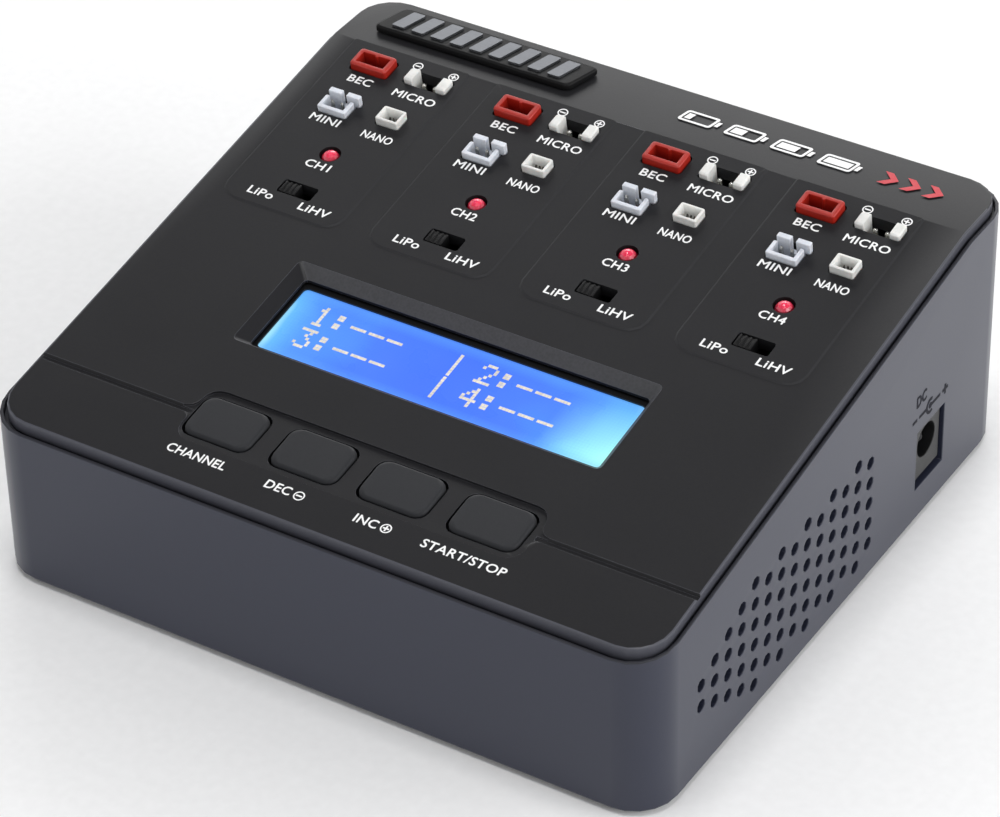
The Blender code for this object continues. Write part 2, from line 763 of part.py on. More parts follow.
def build_red_socket(channel, material):
    """Two-way outlet with a key rib on the back wall of its well."""
    u, v = channel_point(channel, RED_AT)
    half_u = RED_SIZE[0] / 2 - RED_WALL
    half_v = RED_SIZE[1] / 2 - RED_WALL
    rib = 0.4
    well = (
        (u + half_u, v + half_v),
        (u + rib, v + half_v),
        (u, v + half_v - rib),
        (u - rib, v + half_v),
        (u - half_u, v + half_v),
        (u - half_u, v - half_v),
        (u + half_u, v - half_v),
    )
    bm = outlet_block((u, v), RED_SIZE, RED_TOP, 0.5, 0.25)
    bm = boolean(bm, prism(well, WELL_FLOOR, RED_TOP + 1.0))
    finish(f"red_socket_{channel + 1}", on_panel(bm), material)


def build_pin_socket(channel, material):
    """Two-pin header: a low tray in front and two taller posts behind it, with a gap between them."""
    tray_u, tray_v = channel_point(channel, PIN_TRAY_AT)
    posts_u, posts_v = channel_point(channel, PIN_POSTS_AT)
    tray = outlet_block((tray_u, tray_v), PIN_TRAY_SIZE, PIN_TRAY_TOP, 0.3, 0.12)
    posts = outlet_block((posts_u, posts_v), PIN_POSTS_SIZE, PIN_POSTS_TOP, 0.15, 0.1)
    half_u = PIN_TRAY_SIZE[0] / 2 - PIN_WALL
    front = tray_v - PIN_TRAY_SIZE[1] / 2 + PIN_WALL
    back = posts_v - PIN_POSTS_SIZE[1] / 2
    link = box((tray_u - half_u, tray_u + half_u), (tray_v, posts_v), (BOARD_TOP + GAP, PIN_SLOT_FLOOR))
    well = box((tray_u - half_u, tray_u + half_u), (front, back), (WELL_FLOOR, PIN_POSTS_TOP + 1.0))
    slot_u = (posts_u - PIN_GAP / 2, posts_u + PIN_GAP / 2)
    slot = box(slot_u, (posts_v - 2.0, posts_v + 1.0), (PIN_SLOT_FLOOR, PIN_POSTS_TOP + 1.0))
    bm = boolean(boolean(tray, link, "UNION"), posts, "UNION")
    bm = boolean(boolean(bm, well), slot)
    finish(f"pin_socket_{channel + 1}", on_panel(bm), material)


def build_square_socket(channel, material):
    """Small outlet with a funnel-shaped well."""
    u, v = channel_point(channel, SQUARE_AT)
    rim = (SQUARE_SIZE[0] - 0.9, SQUARE_SIZE[1] - 0.9)
    throat = (SQUARE_SIZE[0] - 1.6, SQUARE_SIZE[1] - 1.6)
    well = loft((
        at_height(rectangle(throat, (u, v)), SQUARE_WELL_FLOOR),
        at_height(rectangle(throat, (u, v)), SQUARE_TOP - 1.0),
        at_height(rectangle(rim, (u, v)), SQUARE_TOP),
        at_height(rectangle(rim, (u, v)), SQUARE_TOP + 1.0),
    ))
    bm = boolean(outlet_block((u, v), SQUARE_SIZE, SQUARE_TOP, 0.3, 0.12), well)
    finish(f"square_socket_{channel + 1}", on_panel(bm), material)


def build_lug_socket(channel, material):
    """Wide outlet: a lug at each end, a low front wall and an open back."""
    u, v = channel_point(channel, LUG_AT)
    half_v = LUG_SIZE[1] / 2
    left = u - LUG_SIZE[0] / 2 + LUG_WIDTH
    right = u + LUG_SIZE[0] / 2 - LUG_WIDTH
    low_front = box((left, right), (v - half_v - 1.0, v - half_v + 0.7), (LUG_WALL_TOP, LUG_TOP + 1.0))
    well = box((left, right), (v - half_v + 0.4, v + half_v + 1.0), (WELL_FLOOR, LUG_TOP + 1.0))
    bm = outlet_block((u, v), LUG_SIZE, LUG_TOP, 0.4, 0.3)
    bm = boolean(bm, well)
    bm = boolean(bm, low_front)
    finish(f"lug_socket_{channel + 1}", on_panel(bm), material)


def build_dc_jack(material):
    face = WIDTH / 2 - JACK_RECESS
    bm = box((face - JACK_DEPTH, face), JACK_Y, JACK_Z)
    bm = boolean(bm, bar_x(circle(JACK_HOLE_RADIUS, JACK_HOLE, 24), face - JACK_HOLE_DEPTH, face + 1.0))
    pin = bar_x(circle(JACK_PIN_RADIUS, JACK_HOLE, 10), face - JACK_HOLE_DEPTH - 0.5, face - 1.2)
    finish("dc_jack", boolean(bm, pin, "UNION"), material)


# ---------------------------------------------------------------- display

def build_display(frame_material, glass_material, light_material, board_material):
    centre = DISPLAY_CENTRE
    low = DISPLAY_FRAME_TOP - DISPLAY_FRAME_HEIGHT
    frame = prism(rounded_rect(DISPLAY_FRAME, 0.6, centre, 2), low, DISPLAY_FRAME_TOP)
    inner = (DISPLAY_FRAME[0] - 2.0, DISPLAY_FRAME[1] - 2.0)
    frame = boolean(frame, prism(rectangle(inner, centre), low - 1.0, DISPLAY_FRAME_TOP - DISPLAY_LIP))
    frame = boolean(frame, prism(rounded_rect(DISPLAY_VIEW, 0.8, centre, 3), low, DISPLAY_FRAME_TOP + 1.0))
    finish("lcd_frame", on_panel(frame), frame_material)

    glass_top = DISPLAY_FRAME_TOP - DISPLAY_LIP - GAP
    sheet = rectangle((inner[0] - 2 * GAP, inner[1] - 2 * GAP), centre)
    finish("lcd_glass", on_panel(prism(sheet, glass_top - GLASS, glass_top)), glass_material)

    light_top = glass_top - GLASS - GAP
    finish("lcd_backlight", on_panel(prism(sheet, low, light_top)), light_material)

    plate = prism(rectangle(DISPLAY_BOARD, centre), DISPLAY_BOARD_TOP - BOARD, DISPLAY_BOARD_TOP)
    finish("lcd_board", on_panel(drill(plate, DISPLAY_BOARD_TOP)), board_material)


# ---------------------------------------------------------------- boards and what they carry

def drill(plate, top):
    """Cut the peg holes of every peg that stops at this board's upper face and passes through it."""
    low = min(vert.co.y for vert in plate.verts)
    high = max(vert.co.y for vert in plate.verts)
    holes = []
    for at, board_top in board_pegs():
        if board_top == top and low < at[1] < high:
            holes.append(cylinder(PEG_RADIUS + GAP, at, top - BOARD - 1.0, top + 1.0, 8))
    return boolean(plate, join(holes))


def build_boards(material):
    for name, across, along in (("channel_board", CHANNEL_BOARD_U, CHANNEL_BOARD_V),
                                ("key_board", KEY_BOARD_U, KEY_BOARD_V)):
        plate = box(across, along, (BOARD_TOP - BOARD, BOARD_TOP))
        finish(name, on_panel(drill(plate, BOARD_TOP)), material)
    plate = box(MAIN_BOARD_X, MAIN_BOARD_Y, (MAIN_BOARD_TOP - BOARD, MAIN_BOARD_TOP))
    finish("main_board", plate, material)


def build_main_board_parts(plastic, metal):
    base = MAIN_BOARD_TOP + GAP
    chip = box((-16.0, -6.0), (-10.0, 0.0), (base, base + 1.5))
    finish("microcontroller", bevel_edges(chip, top_rim(base + 1.5), 0.3), plastic)
    body = cylinder(BUZZER_RADIUS, BUZZER_AT, base, base + 8.0, 20)
    body = boolean(body, cylinder(1.2, BUZZER_AT, base + 5.0, base + 9.0, 10))
    finish("buzzer", body, plastic)
    profile = (
        (4.0, base),
        (4.0, base + 1.2),
        (3.7, base + 1.6),
        (4.0, base + 2.0),
        (4.0, base + 11.6),
        (3.6, base + 12.0),
    )
    finish("capacitor", turned(profile, CAPACITOR_AT, 16), metal)


def smooth_path(start, start_pull, end_pull, end, steps=14):
    """Points of a cubic curve in side view."""
    points = []
    for step in range(steps + 1):
        t = step / steps
        s = 1.0 - t
        weights = (s ** 3, 3 * s * s * t, 3 * s * t * t, t ** 3)
        knots = (start, start_pull, end_pull, end)
        points.append(tuple(sum(w * knot[i] for w, knot in zip(weights, knots)) for i in range(2)))
    return points


def ribbon(path, x, thickness):
    """Flat cable that follows a side-view path."""
    left = []
    right = []
    for index, (y, z) in enumerate(path):
        ahead = path[min(index + 1, len(path) - 1)]
        behind = path[max(index - 1, 0)]
        along = Vector((ahead[0] - behind[0], ahead[1] - behind[1])).normalized()
        left.append((y - along.y * thickness / 2, z + along.x * thickness / 2))
        right.append((y + along.y * thickness / 2, z - along.x * thickness / 2))
    return bar_x(right + list(reversed(left)), *x)


def build_ribbon(name, foot_y, plug_v, material):
    """Ribbon from a plug on the main board to a plug under a panel board."""
    base = MAIN_BOARD_TOP + GAP
    x = (-RIBBON_WIDTH / 2, RIBBON_WIDTH / 2)
    plug_x = (x[0] - 1.0, x[1] + 1.0)
    low_plug = box(plug_x, (foot_y - 2.5, foot_y + 2.5), (base, base + 5.0))
    top = BOARD_TOP - BOARD - GAP
    high_plug = on_panel(box(plug_x, (plug_v - 2.5, plug_v + 2.5), (top - 5.0, top)))
    end = PANEL @ Vector((0.0, plug_v, top - 4.0))
    start = (foot_y, base + 4.0)
    start_pull = (foot_y, base + 4.0 + RIBBON_PULL)
    path = smooth_path(start, start_pull, (end.y, end.z - RIBBON_PULL), (end.y, end.z))
    bm = boolean(ribbon(path, x, 0.9), low_plug, "UNION")
    finish(name, boolean(bm, high_plug, "UNION"), material)


# ---------------------------------------------------------------- assembly

def main():
    clear_scene()
    case = make_material("case_plastic", (0.062, 0.066, 0.085), 0.38)
    cover = make_material("cover_plastic", (0.022, 0.022, 0.024), 0.55)
    key = make_material("key_rubber", (0.026, 0.027, 0.03), 0.7)
    black = make_material("black_plastic", (0.012, 0.012, 0.013), 0.45)
    red = make_material("red_plastic", (0.62, 0.045, 0.02), 0.4)
    white = make_material("white_nylon", (0.78, 0.78, 0.76), 0.45)
    ice = make_material("ice_nylon", (0.62, 0.66, 0.74), 0.4)
    lamp = make_material("red_lens", (0.75, 0.03, 0.08), 0.15, transmission=0.4)
    steel = make_material("steel", (0.55, 0.55, 0.56), 0.3, 1.0)
    rubber = make_material("foot_rubber", (0.015, 0.015, 0.015), 0.85)
    circuit = make_material("circuit_board", (0.02, 0.12, 0.05), 0.4)
    glass = make_material("display_glass", (0.05, 0.2, 0.85), 0.1)
    diffuser = make_material("diffuser", (0.75, 0.8, 0.9), 0.5)
    badge = make_material("badge_black", (0.01, 0.01, 0.01), 0.3)
    ribbon_grey = make_material("ribbon_grey", (0.35, 0.35, 0.36), 0.6)
    jack = make_material("jack_plastic", (0.03, 0.03, 0.032), 0.5)

    build_lower_case(case)
    build_top_cover(cover)
    build_badge_plate(badge)
    build_feet(rubber)
    build_case_screws(steel)
    for number in range(KEY_COUNT):
        build_key(number, key, black)
    for channel in range(CHANNELS):
        build_slide_switch(channel, black, steel)
        build_lamp(channel, lamp)
        build_red_socket(channel, red)
        build_pin_socket(channel, ice)
        build_square_socket(channel, white)
        build_lug_socket(channel, white)
    build_dc_jack(jack)
    build_display(black, glass, diffuser, circuit)
    build_boards(circuit)
    build_main_board_parts(black, steel)
    build_ribbon("ribbon_channels", RIBBON_FEET[0], RIBBON_PLUGS[0], ribbon_grey)
    build_ribbon("ribbon_keys", RIBBON_FEET[1], RIBBON_PLUGS[1], ribbon_grey)


main()
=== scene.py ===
"""Looks of the four-channel balance charger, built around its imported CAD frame.

Lengths are in millimetres up to the point where a mesh is made, and MM turns them into metres.
Panel coordinates are (u, v, h): across, up the slope from the front edge, and out of the panel.
"""

import math

import bmesh
import bpy
from mathutils import Matrix, Vector


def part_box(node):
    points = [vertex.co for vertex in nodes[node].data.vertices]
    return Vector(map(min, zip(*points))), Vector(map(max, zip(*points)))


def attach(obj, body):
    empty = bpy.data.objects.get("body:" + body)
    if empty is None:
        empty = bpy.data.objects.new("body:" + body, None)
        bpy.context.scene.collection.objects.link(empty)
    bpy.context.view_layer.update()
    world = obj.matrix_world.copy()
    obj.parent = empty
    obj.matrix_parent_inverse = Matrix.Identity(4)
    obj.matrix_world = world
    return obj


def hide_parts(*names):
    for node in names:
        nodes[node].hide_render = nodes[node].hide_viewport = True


MM = 0.001
ROOT = "housing"

# --- the CAD part's panel frame and the places on it
TILT = math.radians(9.12)
PANEL_ORIGIN = (0.0, -60.4, 32.47)
CHANNELS = 4
CHANNEL_PITCH = 29.55
CHANNEL_OFFSET = -1.66
PAD_RISE = 0.2
RED_AT = (-4.8, 101.1)
PIN_AT = (-4.78, 89.3)
SQUARE_AT = (5.79, 90.1)
LUG_AT = (6.4, 101.25)
DISPLAY_AT = (0.3, 42.7)
GLASS_HALF = (32.7, 7.5)
GLASS_TOP = -3.1
JACK_AT = (31.6, 15.3)
SIDE_X = 63.5
INLET_PIN_X = 53.0
BADGE_AT = (-35.5, 52.0)
WELL_FLOOR = -4.45
SQUARE_WELL_FLOOR = -1.15
RED_PINS_X = (-1.25, 1.25)
RED_PINS_Y = -0.1
TRAY_PINS_X = (-1.0, 1.0)
SMALL_PINS_X = (-0.5, 0.2, 0.9)
SMALL_PINS_Y = 0.3
LUG_PINS_X = (-1.13, 1.13)
LUG_PINS_Y = 0.2

# --- edges: a copy's edges are rounded from the first angle on, and shaded as creases from the second
ROUNDED = 28.0
SHARP = 42.0
CASE_EDGE = 0.16
COVER_EDGE = 0.12
KEY_EDGE = 0.15
KNOB_EDGE = 0.07
RED_EDGE = 0.22
TRAY_EDGE = 0.16
LUG_EDGE = 0.28
BADGE_EDGE = 0.25
INLET_EDGE = 0.15
BAR_EDGE = 0.12

# --- the case's ledge, in metres: faces that look up above the first height, or are inside the rim
# above the second
# these faces take a darker plastic, painted shade where the gap between case and cover lies in shadow
LEDGE_TOP_FROM = 0.028
LEDGE_INSIDE_FROM = 0.027
LEDGE_INSIDE = (0.0628, 0.0597)

# --- material slots of the cover, and where its faces get them
COVER_FACE, EDGE_HIGHLIGHT, LIT_WINDOW_SLOPE, RIM_HIGHLIGHT, WALL_REFLECTION, PAD_EDGE_HIGHLIGHT = range(6)
WINDOW_REACH = (36.5, 12.0)
WINDOW_FROM = -2.0
WINDOW_OUT = (0.3, 0.97)
WINDOW_RIGHTWARD = 0.25
PADS_FROM = 60.0
PADS_REACH = 58.5
PADS_LOW = -0.1
PAD_OUT = (0.3, 0.995)
RIM_X = 0.0602
RIM_Y = 0.0568
RIM_MIDDLE_Y = -0.00035
RIM_OUT = (0.7, 0.985)
RIM_BACK_Y = 0.05
WALL_OUT = -0.25
WALL_FACING = 0.45
WALL_FRONT_Y = -0.05
WALL_RIGHT_X = 0.06

# --- prints: film thickness, half of what bolder strokes gain, film base above its surface, capital height
INK = 0.02
BOLD = 0.045
INK_LIFT = 0.012
LABEL = 1.75
CAPITAL = 0.70
SIGN_RADIUS = 0.95
KEY_SIGN_RADIUS = 0.98
KEY_SIGN_V = 7.2
OUTLET_WORDS = (
    ("BEC", 4.7, -4.9, 96.75),
    ("MICRO", 8.4, 6.25, 96.75),
    ("MINI", 5.8, -4.95, 85.4),
    ("NANO", 6.0, 5.9, 85.2),
    ("LiPo", 4.9, -4.8, 64.87),
    ("LiHV", 6.0, 6.13, 64.8),
)
CHANNEL_WORD = (4.8, 0.4, 74.8)
MINUS_AT = (2.42, 104.25)
PLUS_AT = (9.7, 104.3)
KEY_WORDS = (
    ("CHANNEL", 11.2, -25.39, 7.45),
    ("DEC", 4.7, -9.5, 7.35),
    ("INC", 4.2, 7.25, KEY_SIGN_V),
    ("START/STOP", 15.3, 25.35, KEY_SIGN_V),
)
KEY_MINUS_U = -5.46
KEY_PLUS_U = 10.94
STRIP_Y = 52.0
CELL_START = 7.5
CELL_PITCH = 9.0
CELL_LEVELS = (0.25, 0.5, 0.75, 1.0)
ARROW_START = 43.5
ARROW_PITCH = 4.2
ARROW_COUNT = 3
ARROW_SIZE = 3.6
INLET_SYMBOL_Z = 22.6
INLET_STROKE = 0.6
INLET_RING = (1.6, 0.98)
INLET_OPENING = 60

# --- metal bars on the name plate
BAR_COUNT = 9
BAR_PITCH = 4.0
BAR_SIZE = (2.5, 5.4)
BAR_CORNER = 0.3
BAR_SLANT = 0.25
BAR_RISE = 0.35


def panel_frame():
    """Matrix that takes panel coordinates, in metres, to the object's frame."""
    across = Vector((1.0, 0.0, 0.0))
    up = Vector((0.0, math.cos(TILT), math.sin(TILT)))
    out = Vector((0.0, -math.sin(TILT), math.cos(TILT)))
    matrix = Matrix((across, up, out)).transposed().to_4x4()
    matrix.translation = Vector(PANEL_ORIGIN) * MM
    return matrix


PANEL = panel_frame()


def channel_u(channel):
    """Middle of a channel across the panel; channels count from 0."""
    return CHANNEL_OFFSET + CHANNEL_PITCH * (channel - (CHANNELS - 1) / 2)


def on_panel(u, v, h=0.0):
    """Matrix of a flat thing lying on the panel at (u, v), h above it; its unit is the metre."""
    return PANEL @ Matrix.Translation(Vector((u, v, h)) * MM)


# ---------------------------------------------------------------- node materials

class Shader:
    """Short hand for building one node material."""

    def __init__(self, name):
        self.material = bpy.data.materials.new(name)
        self.material.use_nodes = True
        self.nodes = self.material.node_tree.nodes
        self.links = self.material.node_tree.links
        self.surface = self.nodes["Principled BSDF"]
        self.place = None

    def node(self, kind, **values):
        made = self.nodes.new(kind)
        for key, value in values.items():
            setattr(made, key, value)
        return made

    def link(self, source, target):
        self.links.new(source, target)

    def coordinates(self):
        """Object coordinates, which are metres in the CAD frame."""
        if self.place is None:
            self.place = self.node("ShaderNodeTexCoord").outputs["Object"]
        return self.place

    def mapped(self, scale=(1.0, 1.0, 1.0), rotation=(0.0, 0.0, 0.0), location=(0.0, 0.0, 0.0)):
        mapping = self.node("ShaderNodeMapping")
        mapping.inputs["Scale"].default_value = scale
        mapping.inputs["Rotation"].default_value = rotation
        mapping.inputs["Location"].default_value = location
        self.link(self.coordinates(), mapping.inputs["Vector"])
        return mapping.outputs["Vector"]

    def noise(self, size_mm, detail=2.0, roughness=0.5, vector=None):
        """Noise whose cells are about size_mm wide; gives values around 0.5."""
        noise = self.node("ShaderNodeTexNoise")
        noise.inputs["Scale"].default_value = 1.0 / (size_mm * MM)
        noise.inputs["Detail"].default_value = detail
        noise.inputs["Roughness"].default_value = roughness
        self.link(vector or self.coordinates(), noise.inputs["Vector"])
        return noise.outputs["Fac"]

    def cells(self, size_mm, vector=None):
        """Distance to the nearest of points about size_mm apart."""
        cells = self.node("ShaderNodeTexVoronoi")
        cells.inputs["Scale"].default_value = 1.0 / (size_mm * MM)
        self.link(vector or self.coordinates(), cells.inputs["Vector"])
        return cells.outputs["Distance"]

    def spread(self, value, low, high, start=0.3, end=0.7):
        """Stretch value from start..end to low..high."""
        ranged = self.node("ShaderNodeMapRange")
        ranged.inputs["From Min"].default_value = start
        ranged.inputs["From Max"].default_value = end
        ranged.inputs["To Min"].default_value = low
        ranged.inputs["To Max"].default_value = high
        self.link(value, ranged.inputs["Value"])
        return ranged.outputs["Result"]

    def ramp(self, value, stops):
        ramp = self.node("ShaderNodeValToRGB")
        while len(ramp.color_ramp.elements) < len(stops):
            ramp.color_ramp.elements.new(0.5)
        for element, (position, colour) in zip(ramp.color_ramp.elements, stops):
            element.position = position
            element.color = (*colour, 1.0)
        self.link(value, ramp.inputs["Fac"])
        return ramp.outputs["Color"]

    def math(self, operation, first, second=None):
        made = self.node("ShaderNodeMath", operation=operation)
        for socket, value in zip(made.inputs, (first, second)):
            if value is None:
                continue
            if isinstance(value, (int, float)):
                socket.default_value = value
            else:
                self.link(value, socket)
        return made.outputs["Value"]

    def mix(self, factor, first, second):
        made = self.node("ShaderNodeMix", data_type="RGBA")
        if isinstance(factor, (int, float)):
            made.inputs["Factor"].default_value = factor
        else:
            self.link(factor, made.inputs["Factor"])
        for socket, value in ((made.inputs[6], first), (made.inputs[7], second)):
            if isinstance(value, tuple):
                socket.default_value = (*value, 1.0)
            else:
                self.link(value, socket)
        return made.outputs[2]

    def colour(self, value):
        if isinstance(value, tuple):
            self.surface.inputs["Base Color"].default_value = (*value, 1.0)
        else:
            self.link(value, self.surface.inputs["Base Color"])

    def roughness(self, value):
        if isinstance(value, (int, float)):
            self.surface.inputs["Roughness"].default_value = value
        else:
            self.link(value, self.surface.inputs["Roughness"])

    def relief(self, height, depth_mm, strength=1.0, edge_mm=0.0):
        """Surface relief from height, over edges that are rounded by edge_mm."""
        bump = self.node("ShaderNodeBump")
        bump.inputs["Strength"].default_value = strength
        bump.inputs["Distance"].default_value = depth_mm * MM
        self.link(height, bump.inputs["Height"])
        if edge_mm:
            rounding = self.node("ShaderNodeBevel", samples=4)
            rounding.inputs["Radius"].default_value = edge_mm * MM
            self.link(rounding.outputs["Normal"], bump.inputs["Normal"])
        self.link(bump.outputs["Normal"], self.surface.inputs["Normal"])

    def set(self, **values):
        for key, value in values.items():
            self.surface.inputs[key.replace("_", " ")].default_value = value


def srgb(red, green, blue):
    """Linear colour of an 8-bit display colour."""
    def linear(value):
        value /= 255.0
        return value / 12.92 if value <= 0.04045 else ((value + 0.055) / 1.055) ** 2.4
    return (linear(red), linear(green), linear(blue))


def shade(colour, factor):
    """A colour made darker or lighter."""
    return tuple(min(1.0, value * factor) for value in colour)


def moulded_plastic(name, colour, rough, grain_mm=0.28, grain_depth=0.012, edge_mm=0.12, wear=1.25,
                    mottle=0.35, shine=0.5):
    """Spark-eroded moulding: fine grain, faint flow marks and a slightly uneven sheen."""
    made = Shader(name)
    grain = made.math("ADD", made.cells(grain_mm), made.noise(grain_mm * 2.3, 3.0))
    flow = made.noise(38.0, 2.0)
    rub = made.noise(9.0, 2.0)
    tone = made.mix(made.spread(flow, 0.0, 1.0), shade(colour, 0.93), shade(colour, 1.07))
    fine = made.mix(made.spread(grain, 0.0, 1.0, 0.4, 1.3), shade(colour, 0.86), shade(colour, wear))
    made.colour(made.mix(mottle, tone, fine))
    made.roughness(made.spread(rub, rough - 0.012, rough + 0.018, 0.1, 0.9))
    made.relief(grain, grain_depth, 0.5, edge_mm)
    made.set(IOR=1.49, Specular_IOR_Level=shine)
    return made


def case_plastic():
    """Satin blue-grey shell: broad, barely visible flow in its tone and sheen over a very fine grain."""
    made = Shader("case_satin_abs")
    colour = srgb(42, 45, 60)
    flow = made.noise(46.0, 1.0)
    grain = made.noise(0.7, 1.0)
    tone = made.mix(made.spread(flow, 0.0, 1.0, 0.2, 0.8), shade(colour, 0.95), shade(colour, 1.05))
    fine = made.mix(made.spread(grain, 0.0, 1.0, 0.1, 0.9), shade(colour, 0.94), shade(colour, 1.06))
    made.colour(made.mix(0.3, tone, fine))
    made.roughness(made.spread(flow, 0.29, 0.32, 0.1, 0.9))
    made.relief(grain, 0.0004, 0.4)
    made.set(IOR=1.49, Specular_IOR_Level=0.4, Coat_Weight=0.12, Coat_Roughness=0.22)
    return made.material


def cover_plastic():
    return moulded_plastic("cover_textured_abs", srgb(32, 32, 34), 0.36, grain_mm=0.45, grain_depth=0.006,
                           edge_mm=0.0, wear=1.3, mottle=0.3, shine=0.19).material


def bevel_plastic():
    """Coarser texture of the slopes round the display's window, painted paler as a painted highlight."""
    return moulded_plastic("bevel_grain_and_highlight_abs", srgb(62, 62, 64), 0.5, grain_mm=0.5, grain_depth=0.02,
                           edge_mm=0.0, wear=1.4, mottle=0.5, shine=0.3).material


def highlight_plastic(name, tone):
    """Slightly blue grey, lighter than the cover: painted highlight on the cover's edges and painted
    reflection on its walls.
    """
    colour = srgb(tone - 2, tone - 1, tone + 7)
    return moulded_plastic(name, colour, 0.4, grain_mm=0.5, grain_depth=0.004, edge_mm=0.0, wear=1.15,
                           mottle=0.2, shine=0.4).material


# lighter copy of the cover's plastic for the pads' edges: painted highlight
def pad_edge_highlight_plastic():
    return moulded_plastic("pad_edge_highlight_abs", srgb(45, 45, 47), 0.5, grain_mm=0.45, grain_depth=0.004,
                           edge_mm=0.0, wear=1.2, mottle=0.3, shine=0.16).material


# darker copy of the case's plastic for its ledge and groove: painted shade
def ledge_shade_plastic():
    return moulded_plastic("ledge_shade_abs", srgb(36, 37, 44), 0.5, grain_mm=0.3, grain_depth=0.008,
                           edge_mm=0.0, wear=1.2, mottle=0.3, shine=0.4).material


def key_rubber():
    made = moulded_plastic("key_soft_rubber", srgb(38, 39, 42), 0.5, grain_mm=0.4, grain_depth=0.005,
                           edge_mm=0.0, wear=1.25, mottle=0.3, shine=0.17)
    made.set(Sheen_Weight=0.04, Sheen_Roughness=0.5)
    return made.material


def black_plastic():
    return moulded_plastic("black_moulding", srgb(20, 20, 21), 0.42, grain_mm=0.2, grain_depth=0.01,
                           edge_mm=0.08).material


def dull_black_plastic():
    return moulded_plastic("dull_black_moulding", srgb(17, 17, 18), 0.5, grain_mm=0.3, grain_depth=0.008,
                           edge_mm=0.0, wear=1.2, mottle=0.3, shine=0.16).material


def foot_rubber():
    return moulded_plastic("foot_rubber", srgb(26, 26, 27), 0.8, grain_mm=0.5, grain_depth=0.06,
                           edge_mm=0.1).material


def nylon(name, colour, rough, glow):
    """Natural connector nylon: waxy, with light bleeding through thin walls and faint speckle."""
    made = Shader(name)
    speck = made.noise(0.5, 5.0, 0.65)
    cloud = made.noise(2.4, 2.0)
    tone = made.mix(made.spread(cloud, 0.0, 1.0), shade(colour, 0.9), shade(colour, 1.05))
    dark = made.mix(made.spread(speck, 0.0, 0.35, 0.45, 0.7), tone, shade(colour, 0.72))
    made.colour(dark)
    made.roughness(made.spread(speck, rough - 0.06, rough + 0.08))
    made.relief(speck, 0.02, 0.35, 0.1)
    made.set(Subsurface_Weight=glow, Subsurface_Scale=0.0006, IOR=1.53)
    made.surface.inputs["Subsurface Radius"].default_value = (1.0, 0.8, 0.7)
    return made.material


def lamp_lens():
    """Raspberry-red lamp: deeper at the rim, brighter where the die shows through the dome."""
    made = Shader("lamp_lens")
    geometry = made.node("ShaderNodeNewGeometry")
    along = made.node("ShaderNodeVectorMath", operation="DOT_PRODUCT")
    along.inputs[1].default_value = PANEL.col[2].to_3d()
    made.link(geometry.outputs["Normal"], along.inputs[0])
    cloud = made.noise(0.8, 2.0)
    body = made.ramp(along.outputs["Value"], (
        (0.35, srgb(110, 10, 26)),
        (0.82, srgb(206, 34, 66)),
        (1.0, srgb(232, 62, 96)),
    ))
    made.colour(made.mix(made.spread(cloud, 0.0, 0.25), body, srgb(244, 108, 132)))
    made.roughness(made.spread(cloud, 0.12, 0.2))
    made.relief(cloud, 0.01, 0.2)
    made.set(Subsurface_Weight=0.35, Subsurface_Scale=0.001, Coat_Weight=0.6, Coat_Roughness=0.06)
    made.link(body, made.surface.inputs["Emission Color"])
    made.set(Emission_Strength=0.12)
    return made.material


def metal(name, colour, rough, stretch=(1.0, 1.0, 1.0), grain_mm=0.25):
    """Metal with fine drawn or brushed lines along the axis that is stretched least."""
    made = Shader(name)
    lines = made.noise(grain_mm, 4.0, 0.6, made.mapped(stretch))
    cloud = made.noise(3.0, 2.0)
    tone = made.mix(made.spread(lines, 0.0, 1.0), shade(colour, 0.78), shade(colour, 1.12))
    made.colour(made.mix(made.spread(cloud, 0.0, 0.3), tone, shade(colour, 0.85)))
    made.roughness(made.spread(lines, rough - 0.07, rough + 0.1))
    made.relief(lines, 0.008, 0.4, 0.08)
    made.set(Metallic=1.0)
    return made.material


def circuit_board():
    """Solder mask over copper runs, seen through the vents and behind the sockets."""
    made = Shader("circuit_board")
    runs = made.node("ShaderNodeTexBrick")
    runs.inputs["Scale"].default_value = 120.0
    runs.inputs["Mortar Size"].default_value = 0.06
    runs.inputs["Color1"].default_value = (*srgb(12, 74, 40), 1.0)
    runs.inputs["Color2"].default_value = (*srgb(10, 62, 34), 1.0)
    runs.inputs["Mortar"].default_value = (*srgb(36, 112, 60), 1.0)
    made.link(made.coordinates(), runs.inputs["Vector"])
    cloud = made.noise(4.0, 3.0)
    made.colour(made.mix(made.spread(cloud, 0.0, 0.3), runs.outputs["Color"], srgb(8, 46, 26)))
    made.roughness(made.spread(cloud, 0.22, 0.36))
    made.relief(runs.outputs["Fac"], 0.03, 0.5)
    return made.material


